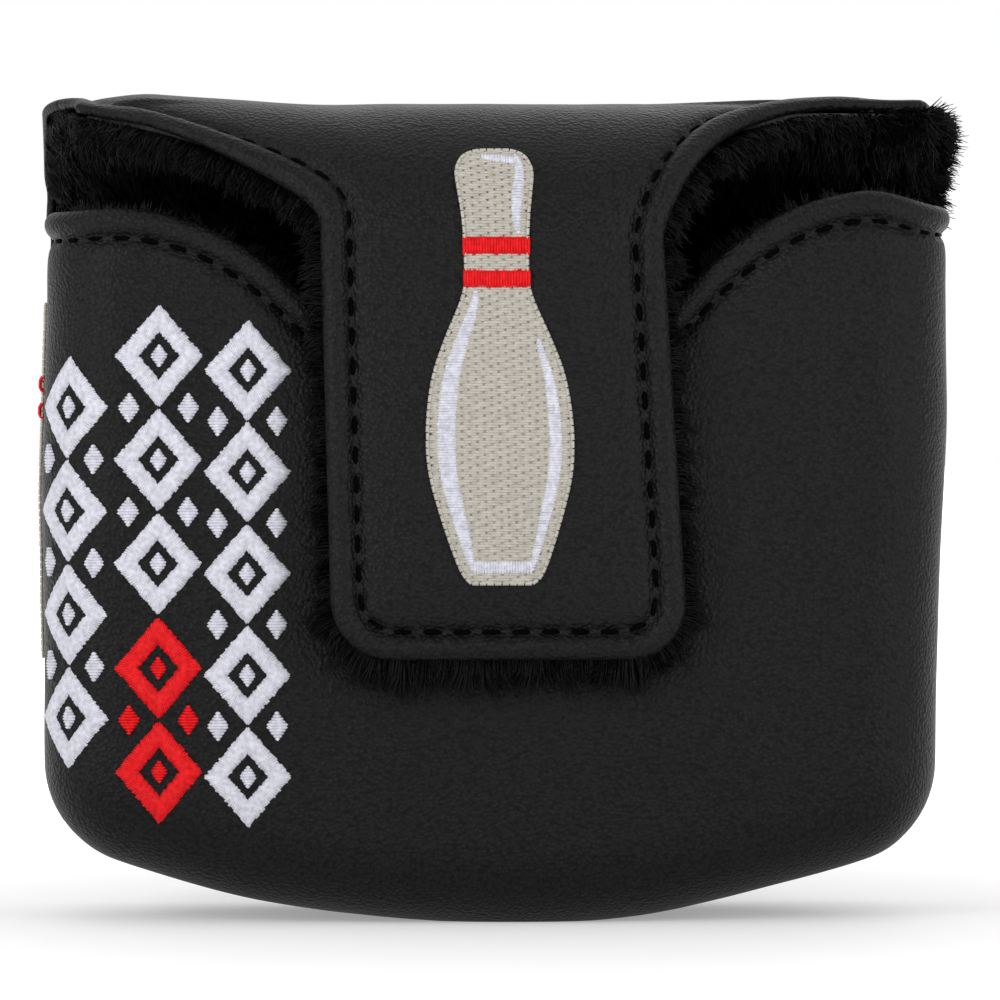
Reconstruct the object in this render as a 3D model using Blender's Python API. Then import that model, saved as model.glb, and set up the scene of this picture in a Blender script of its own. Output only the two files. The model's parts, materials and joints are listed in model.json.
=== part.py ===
"""Mallet putter head cover: a lined pouch with a folding magnetic flap.

Frame: X to the right, Y to the back, Z up, in metres. The origin is the bottom centre of the whole
cover, which stands on its base with the flap's tongue towards -Y.

The pouch is a leather shell in two trays, front and back, that meet at a sewn seam. Inside each tray
lie an embroidery backing, a foam sheet and a plush lining. The flap grows from the top of the back
tray: its roof arches over the mouth and its tongue hangs down the front, held there by magnets.
"""

import math

import bmesh
import bpy
from mathutils import Vector

MM = 0.001

# Pouch, outer faces
HALF_WIDTH = 63.0 * MM
HALF_DEPTH = 21.0 * MM
POUCH_Y = 4.7 * MM  # the pouch's middle plane, set so that the whole cover is centred on Y
BASE_RADIUS = 160.0 * MM  # the shallow curve of the bottom edge
BASE_FLAT = 12.0 * MM  # half-width of the flat that it stands on
CORNER_RADIUS = 14.0 * MM
FRONT_FILLET = 11.0 * MM
BACK_FILLET = 9.0 * MM
SEAM_Y = 11.0 * MM  # behind the pouch's middle plane
SEAM_GAP = 1.2 * MM

# Front edge of the mouth, which dips in the middle to clear the club's shaft
MOUTH_HEIGHT = 101.0 * MM
NOTCH_DEPTH = 31.0 * MM
NOTCH_SPREAD = 28.9 * MM
NOTCH_POWER = 2.3
MOUTH_LEAN = 2.7 * MM
MOUTH_END_DROP_LEFT = 1.0 * MM
MOUTH_END_DROP_RIGHT = 2.8 * MM
HEM_WIDTH = 4.4 * MM

# Depth of each sheet below the outer face: (outer side, inner side)
LEATHER = (0.0, 1.2 * MM)
BACKING = (1.4 * MM, 1.7 * MM)
FOAM = (1.9 * MM, 3.7 * MM)
PATCH = (3.9 * MM, 4.2 * MM)
PLUSH = (4.4 * MM, 7.2 * MM)
FLAP_FOAM = (1.9 * MM, 3.5 * MM)
FLAP_PATCH = (3.7 * MM, 4.0 * MM)
FLAP_PLUSH = (4.2 * MM, 6.6 * MM)
STITCH_FILL = (-0.9 * MM, -0.35 * MM)
STITCH_TOP = (-1.6 * MM, -1.2 * MM)

# Flap: a straight tongue, then half an ellipse over the mouth down to the top of the back
TONGUE_GAP = 1.2 * MM
TONGUE_BOTTOM = 37.4 * MM
TONGUE_CORNER = 8.5 * MM
TONGUE_HALF_WIDTH = 23.9 * MM
TONGUE_FLARE = 1.0 * MM
ARCH_FOOT = 96.0 * MM
ARCH_TOP = 115.2 * MM
ROOF_HALF_WIDTH = 60.0 * MM
ROOF_WIDEST = 63.5 * MM
ROOF_FOOT_HALF_WIDTH = 57.0 * MM
WING_LEFT = (0.02, 1.2, 1.12)
WING_RIGHT = (0.0, 0.68, 1.75)
PLUSH_FRINGE = 1.5 * MM
FOLD_ANGLE = math.radians(45)  # where the tongue folds from the roof
SPLIT = 0.35 * MM  # half of the gap that each fold line keeps
TONGUE_Y = POUCH_Y - HALF_DEPTH - TONGUE_GAP - FLAP_PLUSH[1]
BACK_Y = POUCH_Y + HALF_DEPTH
ARCH_Y = (TONGUE_Y + BACK_Y) / 2
ARCH_REACH = (BACK_Y - TONGUE_Y) / 2
ARCH_RISE = ARCH_TOP - ARCH_FOOT

# Magnets, two in the tongue facing two in the front wall
MAGNET_RADIUS = 7.0 * MM
MAGNET_THICKNESS = 1.3 * MM
MAGNET_X = 12.0 * MM
MAGNET_Z = 50.0 * MM
MAGNET_PLAY = 0.4 * MM

# Embroidery
PIN_HEIGHT = 60.4 * MM
PIN_FOOT = 48.3 * MM
PIN_BAND = 2.1 * MM
SIDE_PIN_HEIGHT = 50.0 * MM
SIDE_PIN_FOOT = 37.0 * MM
SIDE_PIN_U = 80.0 * MM
BAND_SHARES = (("upper", 0.785), ("lower", 0.705))
ROW_HALF_WIDTH = 6.0 * MM
THREAD_RADIUS = 0.28 * MM
THREAD_LIFT = 0.32 * MM

TRAY_TOP = 122.0 * MM  # trays are modelled to here, then cut down to the mouth

COLOURS = {
    "leather": ((0.016, 0.016, 0.017), 0.5, 0.0),
    "plush": ((0.006, 0.006, 0.007), 0.95, 0.0),
    "foam": ((0.55, 0.55, 0.52), 0.9, 0.0),
    "backing": ((0.75, 0.75, 0.73), 0.9, 0.0),
    "magnet": ((0.62, 0.62, 0.63), 0.25, 1.0),
    "black_thread": ((0.006, 0.006, 0.006), 0.6, 0.0),
    "ivory_thread": ((0.56, 0.52, 0.45), 0.55, 0.0),
    "white_thread": ((0.66, 0.66, 0.74), 0.45, 0.0),
    "red_thread": ((0.66, 0.018, 0.018), 0.45, 0.0),
}


def clear_scene():
    for obj in list(bpy.data.objects):
        bpy.data.objects.remove(obj)


def material(name):
    """The Principled material of that name, made on first use."""
    found = bpy.data.materials.get(name)
    if found:
        return found
    colour, roughness, metallic = COLOURS[name]
    made = bpy.data.materials.new(name)
    made.use_nodes = True
    shader = made.node_tree.nodes["Principled BSDF"]
    shader.inputs["Base Color"].default_value = (*colour, 1)
    shader.inputs["Roughness"].default_value = roughness
    shader.inputs["Metallic"].default_value = metallic
    return made


def add_object(name, data, material_name=None):
    obj = bpy.data.objects.new(name, data)
    bpy.context.scene.collection.objects.link(obj)
    if material_name:
        data.materials.append(material(material_name))
    return obj


def as_cutter(obj):
    obj.hide_render = True
    obj.display_type = "WIRE"
    return obj


def cut(obj, *cutters):
    for cutter in cutters:
        modifier = obj.modifiers.new("cut", "BOOLEAN")
        modifier.operation = "DIFFERENCE"
        modifier.object = cutter
    return obj


def loft(name, rings, material_name=None):
    """A closed solid through rings of points, every ring with the same number, its two ends filled."""
    mesh = bpy.data.meshes.new(name)
    bm = bmesh.new()
    loops = []
    for ring in rings:
        verts = [bm.verts.new(point) for point in ring]
        loops.append([bm.edges.new((a, b)) for a, b in zip(verts, verts[1:] + verts[:1])])
    for near, far in zip(loops, loops[1:]):
        bmesh.ops.bridge_loops(bm, edges=near + far)
    for end in (loops[0], loops[-1]):
        bmesh.ops.contextual_create(bm, geom=end)
    bmesh.ops.recalc_face_normals(bm, faces=bm.faces)
    bm.to_mesh(mesh)
    bm.free()
    return add_object(name, mesh, material_name)


def prism(name, outline, y_from, y_to):
    """A cutter with that (x, z) outline, along Y."""
    rings = [[(x, y, z) for x, z in outline] for y in (y_from, y_to)]
    return as_cutter(loft(name, rings))


def thread(name, points, material_name="black_thread"):
    """A sewing thread as a thin round tube through the points."""
    curve = bpy.data.curves.new(name, "CURVE")
    curve.dimensions = "3D"
    curve.bevel_depth = THREAD_RADIUS
    curve.bevel_resolution = 0
    curve.use_fill_caps = True
    spline = curve.splines.new("POLY")
    spline.points.add(len(points) - 1)
    for target, point in zip(spline.points, points):
        target.co = (*point, 1)
    return add_object(name, curve, material_name)


def arc(centre, radius, start, end, steps):
    """Points on a circle in the XZ plane, from one angle to another."""
    angles = [start + (end - start) * i / steps for i in range(steps + 1)]
    return [(centre[0] + radius * math.cos(a), centre[1] + radius * math.sin(a)) for a in angles]


def smooth_step(t):
    t = min(1.0, max(0.0, t))
    return t * t * (3 - 2 * t)


# ---------------------------------------------------------------- the pouch


def outline(inset, top):
    """The pouch's outline in XZ, drawn in by inset: straight sides, round corners, a shallow curved
    base with a flat in its middle. Tangent arcs keep their centres, so outlines nest exactly."""
    base_centre = math.sqrt(BASE_RADIUS**2 - BASE_FLAT**2)
    corner_x = HALF_WIDTH - CORNER_RADIUS
    corner_z = base_centre - math.sqrt((BASE_RADIUS - CORNER_RADIUS) ** 2 - corner_x**2)
    meet = math.atan2(corner_z - base_centre, corner_x)
    radius = BASE_RADIUS - inset
    flat_x = math.sqrt(radius**2 - (base_centre - inset) ** 2)
    flat_angle = math.atan2(inset - base_centre, flat_x)
    corner = arc((corner_x, corner_z), CORNER_RADIUS - inset, 0.0, meet, 5)
    base = arc((0.0, base_centre), radius, meet, flat_angle, 4)[1:]
    right = [(HALF_WIDTH - inset, top), *corner, *base]
    left = [(-x, z) for x, z in reversed(right)]
    return right + left


def tray_solid(name, depth, top, material_name=None):
    """The whole pouch drawn in by depth, as one closed solid up to top."""
    rings = []

    def fillet(radius, sign, steps):
        for i in range(steps + 1):
            angle = math.radians(90) * i / steps
            inset = radius - (radius - depth) * math.cos(angle)
            y = POUCH_Y + sign * (HALF_DEPTH - radius + (radius - depth) * math.sin(angle))
            rings.append([(x, y, z) for x, z in outline(inset, top)])

    fillet(FRONT_FILLET, -1, 4)
    rings.reverse()
    fillet(BACK_FILLET, 1, 3)
    return loft(name, rings, material_name)


def mouth_edge(x):
    """Height of the front wall's top edge, which stands a little higher on the right."""
    dip = NOTCH_DEPTH * math.exp(-((abs(x) / NOTCH_SPREAD) ** NOTCH_POWER))
    lean = MOUTH_LEAN * smooth_step((x + 30 * MM) / (60 * MM))
    drop = MOUTH_END_DROP_LEFT if x < 0 else MOUTH_END_DROP_RIGHT
    end = drop * smooth_step((abs(x) - 52 * MM) / (HALF_WIDTH - 52 * MM))
    return MOUTH_HEIGHT + lean - dip - end


def wrap(u, z, lift):
    """A point on the pouch's front and sides: u runs along the surface from the middle of the front,
    round the fillet and back along the side. lift is the height above the leather."""
    flat = HALF_WIDTH - FRONT_FILLET
    quarter = FRONT_FILLET * math.pi / 2
    side = math.copysign(1.0, u)
    run = abs(u)
    if run <= flat:
        return Vector((u, POUCH_Y - HALF_DEPTH - lift, z))
    if run <= flat + quarter:
        angle = (run - flat) / FRONT_FILLET
        reach = FRONT_FILLET + lift
        x = side * (flat + reach * math.sin(angle))
        return Vector((x, POUCH_Y - HALF_DEPTH + FRONT_FILLET - reach * math.cos(angle), z))
    y = POUCH_Y - HALF_DEPTH + FRONT_FILLET + run - flat - quarter
    return Vector((side * (HALF_WIDTH + lift), y, z))


def mouth_cutter(name, drop):
    """What lies above the front wall's top edge, drop below the leather's."""
    count = 40
    reach = HALF_WIDTH + 3 * MM
    xs = [-reach + 2 * reach * i / count for i in range(count + 1)]
    edge = [(x, mouth_edge(x) - drop) for x in xs]
    above = [(reach, TRAY_TOP + 20 * MM), (-reach, TRAY_TOP + 20 * MM)]
    return prism(name, edge + above, POUCH_Y - 2 * HALF_DEPTH, POUCH_Y + 2 * HALF_DEPTH)


def box_cutter(name, low, high):
    rings = [
        [(low[0], y, low[2]), (high[0], y, low[2]), (high[0], y, high[2]), (low[0], y, high[2])]
        for y in (low[1], high[1])
    ]
    return as_cutter(loft(name, rings))


def make_trays():
    """Shell, foam and lining, each a front and a back tray."""
    far = 2 * HALF_WIDTH
    seam = POUCH_Y + SEAM_Y
    behind = box_cutter("behind_seam", (-far, seam - SEAM_GAP / 2, -far), (far, far, far))
    before = box_cutter("before_seam", (-far, -far, -far), (far, seam + SEAM_GAP / 2, far))
    over_back = box_cutter("over_back", (-far, -far, ARCH_FOOT - SPLIT), (far, far, far))
    sheets = (
        ("shell", LEATHER, "leather", 0.0),
        ("foam", FOAM, "foam", 2 * MM),
        ("lining", PLUSH, "plush", 0.6 * MM),
    )
    for sheet, (outer, inner), stuff, drop in sheets:
        over_front = mouth_cutter(f"mouth_for_{sheet}", drop)
        hollow = as_cutter(tray_solid(f"hollow_of_{sheet}", inner, TRAY_TOP + 8 * MM))
        front = tray_solid(f"front_{sheet}", outer, TRAY_TOP, stuff)
        back = tray_solid(f"back_{sheet}", outer, TRAY_TOP, stuff)
        cut(front, hollow, behind, over_front)
        cut(back, hollow, before, over_back)


def make_pouch_threads():
    """The topstitch under the front hem and the closing thread down in the side seam."""
    count = 72
    run = HALF_WIDTH - FRONT_FILLET + FRONT_FILLET * math.pi / 2 + 17 * MM
    lift = THREAD_LIFT + THREAD_RADIUS

    def edge(u):
        return Vector((u, mouth_edge(wrap(u, 0.0, 0.0).x)))

    points = []
    for i in range(count + 1):
        u = -run + 2 * run * i / count
        along = (edge(u + 0.5 * MM) - edge(u - 0.5 * MM)).normalized()
        below = edge(u) + HEM_WIDTH * Vector((along.y, -along.x))
        points.append(wrap(below.x, below.y, lift))
    thread("front_topstitch", points)
    seam = [(x, POUCH_Y + SEAM_Y, z) for x, z in outline(0.8 * MM, ARCH_FOOT - 2 * MM)]
    thread("side_seam_thread", seam)


# ---------------------------------------------------------------- the flap


class Station:
    """A line across the flap: its place and outward normal on the flap's path in the YZ plane.
    turn is the angle round the arch, 0 at the top of the tongue and pi at the top of the back."""

    def __init__(self, z=None, turn=0.0):
        self.turn = turn
        if z is not None:
            self.y, self.z, self.normal = TONGUE_Y, z, Vector((-1.0, 0.0))
            return
        self.y = ARCH_Y - ARCH_REACH * math.cos(turn)
        self.z = ARCH_FOOT + ARCH_RISE * math.sin(turn)
        slope = (-math.cos(turn) / ARCH_REACH, math.sin(turn) / ARCH_RISE)
        self.normal = Vector(slope).normalized()

    def point(self, x, depth):
        return Vector((x, self.y - self.normal.x * depth, self.z - self.normal.y * depth))


def tongue_centre(station):
    """The tongue hangs a little askew, so its middle moves across as it goes down."""
    down = (ARCH_FOOT - station.z) / (ARCH_FOOT - TONGUE_BOTTOM)
    if station.turn > 0:
        return -1.6 * MM * max(0.0, 1 - station.turn / math.radians(90))
    return (-1.6 + 2.6 * down) * MM


def flap_half_width(station, inset, side):
    """Half of the flap's width on one side, drawn in by inset all round its free edge."""
    if station.turn > 0:
        share = station.turn / math.radians(90)
        start, rise, power = WING_LEFT if side < 0 else WING_RIGHT
        wing = min(1.0, rise * max(0.0, share - start) ** power)
        spread = (ROOF_HALF_WIDTH - TONGUE_HALF_WIDTH) * wing
        widen = (ROOF_WIDEST - ROOF_HALF_WIDTH) * smooth_step((share - 1) / 0.35)
        narrow = (ROOF_WIDEST - ROOF_FOOT_HALF_WIDTH) * smooth_step((share - 1.6) / 0.4)
        slant = 0.4 * smooth_step(station.turn / 0.6) * (1 - smooth_step(share - 1))
        return TONGUE_HALF_WIDTH + spread + widen - narrow - inset * (1 + slant)
    down = (ARCH_FOOT - station.z) / (ARCH_FOOT - TONGUE_BOTTOM)
    half = TONGUE_HALF_WIDTH + TONGUE_FLARE * down - inset
    corner = TONGUE_CORNER - inset
    short = TONGUE_BOTTOM + inset + corner - station.z
    if short > 0:
        half -= corner - math.sqrt(max(0.0, corner**2 - short**2))
    return half


def tongue_stations(inset):
    """From the tongue's bottom edge to the fold below the roof."""
    low = TONGUE_BOTTOM + inset
    corner = TONGUE_CORNER - inset
    bend = [low + corner * (1 - math.cos(math.radians(15 * i))) for i in range(7)]
    straight = [low + corner + (ARCH_FOOT - low - corner) * i / 4 for i in range(1, 4)]
    fold = FOLD_ANGLE - SPLIT / ARCH_REACH
    rise = [Station(turn=fold * i / 6) for i in range(7)]
    return [Station(z=z) for z in bend + straight] + rise


def roof_stations():
    start = FOLD_ANGLE + SPLIT / ARCH_REACH
    end = math.pi - SPLIT / ARCH_RISE
    return [Station(turn=start + (end - start) * i / 18) for i in range(19)]


def strip(name, stations, limits, depths, material_name):
    """A sheet along the flap. limits gives its left and right x at a station."""
    rings = []
    for station in stations:
        left, right = limits(station)
        rings.append(
            [
                station.point(left, depths[0]),
                station.point(right, depths[0]),
                station.point(right, depths[1]),
                station.point(left, depths[1]),
            ]
        )
    return loft(name, rings, material_name)


def flap_limits(inset):
    def limits(station):
        centre = tongue_centre(station)
        left = centre - flap_half_width(station, inset, -1)
        return left, centre + flap_half_width(station, inset, 1)

    return limits


def make_flap_sheets():
    """Leather, foam and plush of the tongue and of the roof."""
    sheets = (
        ("shell", LEATHER, "leather", 0.0),
        ("foam", FLAP_FOAM, "foam", 2.5 * MM),
        ("lining", FLAP_PLUSH, "plush", -PLUSH_FRINGE),
    )
    for sheet, depths, stuff, inset in sheets:
        strip(f"tongue_{sheet}", tongue_stations(inset), flap_limits(inset), depths, stuff)
        strip(f"roof_{sheet}", roof_stations(), flap_limits(inset), depths, stuff)


def flap_edge_line(stations, side, inset):
    """Points above the leather, inset from the flap's edge on one side."""
    lift = -(THREAD_LIFT + THREAD_RADIUS)
    points = []
    for station in stations:
        left, right = flap_limits(inset)(station)
        points.append(station.point(left if side < 0 else right, lift))
    return points


def make_flap_threads():
    """The topstitch round the tongue, and the two that carry it back along the roof's edges."""
    end_gap = 2 * MM / ARCH_REACH
    turns = [(FOLD_ANGLE - end_gap) * i / 8 for i in range(9)]
    stations = tongue_stations(HEM_WIDTH)
    stations = [s for s in stations if s.turn == 0] + [Station(turn=t) for t in turns[1:]]
    down = flap_edge_line(reversed(stations), -1, HEM_WIDTH)
    up = flap_edge_line(stations, 1, HEM_WIDTH)
    thread("tongue_topstitch", down + up)
    start, end = FOLD_ANGLE + end_gap, math.pi - 3 * end_gap
    roof = [Station(turn=start + (end - start) * i / 16) for i in range(17)]
    for name, side in (("left", -1), ("right", 1)):
        thread(f"roof_topstitch_{name}", flap_edge_line(roof, side, HEM_WIDTH))


# ---------------------------------------------------------------- embroidery


def pin_half_width(share):
    """Half-width of a ten-pin over its height, for a share of the height from foot to crown."""
    profile = (
        (0.0, 0.062),
        (0.03, 0.082),
        (0.14, 0.125),
        (0.30, 0.170),
        (0.44, 0.150),
        (0.58, 0.100),
        (0.68, 0.078),
        (0.76, 0.080),
        (0.88, 0.092),
        (0.95, 0.080),
        (1.0, 0.045),
    )
    for (low, near), (high, far) in zip(profile, profile[1:]):
        if share <= high:
            return near + (far - near) * smooth_step((share - low) / (high - low))
    return profile[-1][1]


def flap_station_at(height_on_sheet):
    """The station at that height, measured along the sheet once past the foot of the arch."""
    if height_on_sheet <= ARCH_FOOT:
        return Station(z=height_on_sheet)
    return Station(turn=(height_on_sheet - ARCH_FOOT) / (ARCH_RISE * 1.04))


def pin_centre(share):
    return (-0.2 - 1.2 * share) * MM


def pin_strip(name, low, high, steps, edges, depths, material_name):
    """Part of the pin on the tongue between two shares of its height. edges gives the strip's two
    sides from the pin's half-width there."""
    rings = []
    for i in range(steps + 1):
        share = low + (high - low) * i / steps
        station = flap_station_at(PIN_FOOT + PIN_HEIGHT * share)
        left, right = edges(PIN_HEIGHT * pin_half_width(share))
        centre = pin_centre(share)
        ring = [(left, depths[0]), (right, depths[0]), (right, depths[1]), (left, depths[1])]
        rings.append([station.point(centre + x, depth) for x, depth in ring])
    return loft(name, rings, material_name)


def make_pin():
    """The ten-pin on the tongue: an ivory fill, two red bands and white lines on top of it."""
    band = PIN_BAND / PIN_HEIGHT / 2

    def whole(half):
        return -half, half

    def across_band(half):
        return -half - 0.3 * MM, half + 0.3 * MM

    def left_line(half):
        return -half + 2.0 * MM, -half + 3.6 * MM

    def right_line(half):
        return half - 3.2 * MM, half - 2.0 * MM

    def foot_line(half):
        return -half + 1.4 * MM, half - 1.4 * MM

    def backing_edges(_):
        return -12 * MM, 12 * MM

    pin_strip("pin_fill", 0.0, 1.0, 20, whole, STITCH_FILL, "ivory_thread")
    for name, share in BAND_SHARES:
        low, high = share - band, share + band
        pin_strip(f"pin_band_{name}", low, high, 2, across_band, STITCH_TOP, "red_thread")
    lines = (
        ("left", 0.10, 0.66, 10, left_line),
        ("right", 0.16, 0.50, 7, right_line),
        ("foot", 0.035, 0.065, 2, foot_line),
        ("head", 0.84, 0.955, 4, right_line),
    )
    for name, low, high, steps, edges in lines:
        pin_strip(f"pin_line_{name}", low, high, steps, edges, STITCH_TOP, "white_thread")
    pin_strip("pin_backing", 0.02, 0.97, 16, backing_edges, BACKING, "backing")


def wrap_strip(name, low, high, steps, limits, depths, material_name):
    """A strip of stitches on the pouch's front or side, between two heights."""
    rings = []
    for i in range(steps + 1):
        z = low + (high - low) * i / steps
        left, right = limits(i / steps)
        across = [left + (right - left) * k / 6 for k in range(7)]
        ring = [wrap(u, z, -depths[0]) for u in across]
        ring += [wrap(u, z, -depths[1]) for u in reversed(across)]
        rings.append(ring)
    return loft(name, rings, material_name)


def make_ornament():
    """Three upright rows of satin-stitched lozenges on the left of the front. They are plain
    chains here: wide at each lozenge's waist and narrow where two lozenges meet."""

    def chain(middle, count):
        def limits(share):
            wave = abs(2 * ((share * count) % 1.0) - 1)
            half = ROW_HALF_WIDTH * (1 - 0.62 * wave)
            return middle - half, middle + half

        return limits

    rows = (
        ("ornament_row_inner", -35.2, 16.0, 84.0, 5, "white_thread"),
        ("ornament_row_middle", -47.4, 46.4, 86.0, 3, "white_thread"),
        ("ornament_row_middle_red", -47.4, 20.0, 45.6, 2, "red_thread"),
        ("ornament_row_outer", -60.2, 24.0, 77.0, 4, "white_thread"),
    )
    for name, middle, low, high, count, stuff in rows:
        limits = chain(middle * MM, count)
        wrap_strip(name, low * MM, high * MM, 4 * count, limits, STITCH_FILL, stuff)
    ring = ((-49.0, 21.0), (-28.5, 19.0), (-28.5, 83.0), (-49.0, 85.0))
    flat = [(x * MM, z * MM) for x, z in ring]
    face = POUCH_Y - HALF_DEPTH
    rings = [[(x, face + depth, z) for x, z in flat] for depth in BACKING]
    loft("ornament_backing", rings, "backing")


def make_side_pin():
    """The smaller ten-pin on the left side wall."""

    def whole(share):
        half = SIDE_PIN_HEIGHT * pin_half_width(share)
        return -SIDE_PIN_U - half, -SIDE_PIN_U + half

    top = SIDE_PIN_FOOT + SIDE_PIN_HEIGHT
    wrap_strip("side_pin_fill", SIDE_PIN_FOOT, top, 18, whole, STITCH_FILL, "ivory_thread")
    for name, share in BAND_SHARES:
        half = SIDE_PIN_HEIGHT * pin_half_width(share) + 0.2 * MM
        middle = SIDE_PIN_FOOT + SIDE_PIN_HEIGHT * share
        low, high = middle - 0.8 * MM, middle + 0.8 * MM

        def limits(_, half=half):
            return -SIDE_PIN_U - half, -SIDE_PIN_U + half

        wrap_strip(f"side_pin_band_{name}", low, high, 1, limits, (-1.5 * MM, -1.15 * MM), "red_thread")


# ---------------------------------------------------------------- magnets


def disc(name, centre, radius, thickness, material_name=None):
    """A round disc with its axis along Y."""
    mesh = bpy.data.meshes.new(name)
    bm = bmesh.new()
    bmesh.ops.create_cone(
        bm, cap_ends=True, segments=24, radius1=radius, radius2=radius, depth=thickness
    )
    bmesh.ops.rotate(bm, verts=bm.verts, matrix=quarter_turn_about_x())
    bm.to_mesh(mesh)
    bm.free()
    obj = add_object(name, mesh, material_name)
    obj.location = centre
    return obj


def quarter_turn_about_x():
    return Vector((0, 0, 1)).rotation_difference(Vector((0, 1, 0))).to_matrix()


def patch(name, y, depth, half_width, half_height):
    """The cloth patch that shuts a magnet pair into its foam."""
    cut_corner = 3 * MM
    corners = []
    for sx, sz in ((1, 1), (-1, 1), (-1, -1), (1, -1)):
        near = (sx * half_width, MAGNET_Z + sz * (half_height - cut_corner))
        far = (sx * (half_width - cut_corner), MAGNET_Z + sz * half_height)
        corners += [near, far] if sx * sz > 0 else [far, near]
    rings = [[(x, y + step, z) for x, z in corners] for step in (0, depth)]
    return loft(name, rings, "backing")


def make_magnets():
    front_face = POUCH_Y - HALF_DEPTH
    pairs = (
        ("front", front_face + (FOAM[0] + FOAM[1]) / 2, "front_foam"),
        ("flap", TONGUE_Y + (FLAP_FOAM[0] + FLAP_FOAM[1]) / 2, "tongue_foam"),
    )
    for where, y, foam in pairs:
        for side, x in (("left", -MAGNET_X), ("right", MAGNET_X)):
            centre = (x, y, MAGNET_Z)
            disc(f"{where}_magnet_{side}", centre, MAGNET_RADIUS, MAGNET_THICKNESS, "magnet")
            hole = disc(f"{where}_hole_{side}", centre, MAGNET_RADIUS + MAGNET_PLAY, 6 * MM)
            cut(bpy.data.objects[foam], as_cutter(hole))
    thickness = PATCH[1] - PATCH[0]
    patch("front_magnet_patch", front_face + PATCH[0], thickness, 22 * MM, 10 * MM)
    patch("flap_magnet_patch", TONGUE_Y + FLAP_PATCH[0], thickness, 20.5 * MM, 8.5 * MM)


def main():
    clear_scene()
    make_trays()
    make_pouch_threads()
    make_flap_sheets()
    make_flap_threads()
    make_pin()
    make_ornament()
    make_side_pin()
    make_magnets()


main()
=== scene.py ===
import json
import math
import random

import bmesh
import bpy
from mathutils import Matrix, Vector, noise
from mathutils.kdtree import KDTree


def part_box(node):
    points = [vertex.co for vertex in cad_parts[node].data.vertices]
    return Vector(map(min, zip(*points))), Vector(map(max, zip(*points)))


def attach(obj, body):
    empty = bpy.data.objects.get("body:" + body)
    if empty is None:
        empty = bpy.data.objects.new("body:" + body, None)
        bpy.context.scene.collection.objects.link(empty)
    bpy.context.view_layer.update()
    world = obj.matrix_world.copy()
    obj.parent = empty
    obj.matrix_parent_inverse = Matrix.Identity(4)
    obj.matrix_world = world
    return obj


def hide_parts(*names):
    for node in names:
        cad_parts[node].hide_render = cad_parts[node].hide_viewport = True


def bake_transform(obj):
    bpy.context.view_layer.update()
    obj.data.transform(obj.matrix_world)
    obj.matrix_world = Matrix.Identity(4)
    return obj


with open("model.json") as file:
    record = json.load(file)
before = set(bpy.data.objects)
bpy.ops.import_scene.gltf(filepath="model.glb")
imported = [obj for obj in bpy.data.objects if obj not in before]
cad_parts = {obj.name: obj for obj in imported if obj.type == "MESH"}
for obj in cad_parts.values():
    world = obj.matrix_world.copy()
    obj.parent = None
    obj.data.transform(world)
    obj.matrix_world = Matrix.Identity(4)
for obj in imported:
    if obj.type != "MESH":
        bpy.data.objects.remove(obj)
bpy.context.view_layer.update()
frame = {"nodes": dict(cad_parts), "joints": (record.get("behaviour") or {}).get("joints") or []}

# ---------------------------------------------------------------- Front leather
# The front of the pouch is one piece of coated leather over thin foam. It wraps the face, both sides
# and the base, ends in a seam near the back, and is turned over the foam along the dipped mouth.

mm = 0.001
front_low, front_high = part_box("front_shell")
back_low, back_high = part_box("back_shell")
seam_y = (front_high.y + back_low.y) / 2
half_width = front_high.x
base_radius = 160 * mm
corner_radius = 14 * mm
mouth_height = 101 * mm
mouth_lean = 2.7 * mm
mouth_drop_left = 1.0 * mm
mouth_drop_right = 2.8 * mm
notch_depth = 31 * mm
notch_spread = 28.9 * mm
notch_power = 2.3
hem_width = 4.1 * mm
stitch_pitch = 4.1 * mm
leather_thickness = 0.6 * mm


def smooth_step(t):
    t = min(1.0, max(0.0, t))
    return t * t * (3 - 2 * t)


def mix(a, b, t):
    return a + (b - a) * t


def mouth_edge(x):
    """Height of the front's top edge, which stands a little higher on the right and falls away
    more there."""
    dip = notch_depth * math.exp(-((abs(x) / notch_spread) ** notch_power))
    lean = mouth_lean * smooth_step((x + 30 * mm) / (60 * mm))
    drop = mouth_drop_right if x > 0 else mouth_drop_left
    end = drop * smooth_step((abs(x) - 50 * mm) / (half_width - 50 * mm))
    return mouth_height + lean - dip - end


def fold(u, v, radius):
    """Folds a point of the flat blank round the pouch's edge. Gives the point's x and z, how far it
    lies from the flat face, and its normal as (across, along the face's own normal, up)."""
    corner_x = half_width - corner_radius
    reach = base_radius - corner_radius
    corner_z = base_radius - math.sqrt(reach**2 - corner_x**2)
    side = math.copysign(1.0, u)
    point = Vector((abs(u), v))
    if v >= corner_z:
        centre = Vector((0.0, v))
        inner = half_width - radius
    elif math.atan2(abs(u), base_radius - v) > math.atan2(corner_x, base_radius - corner_z):
        centre = Vector((corner_x, corner_z))
        inner = corner_radius - radius
    else:
        centre = Vector((0.0, base_radius))
        inner = base_radius - radius
    out = point - centre
    past = out.length - inner
    if past <= 0:
        return u, v, 0.0, (0.0, 1.0, 0.0)
    out.normalize()
    turn = min(past / radius, math.pi / 2)
    foot = centre + out * (inner + radius * math.sin(turn))
    depth = radius * (1 - math.cos(turn)) + max(0.0, past - radius * math.pi / 2)
    normal = (side * out.x * math.sin(turn), math.cos(turn), out.y * math.sin(turn))
    return side * foot.x, foot.y, depth, normal


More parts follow.
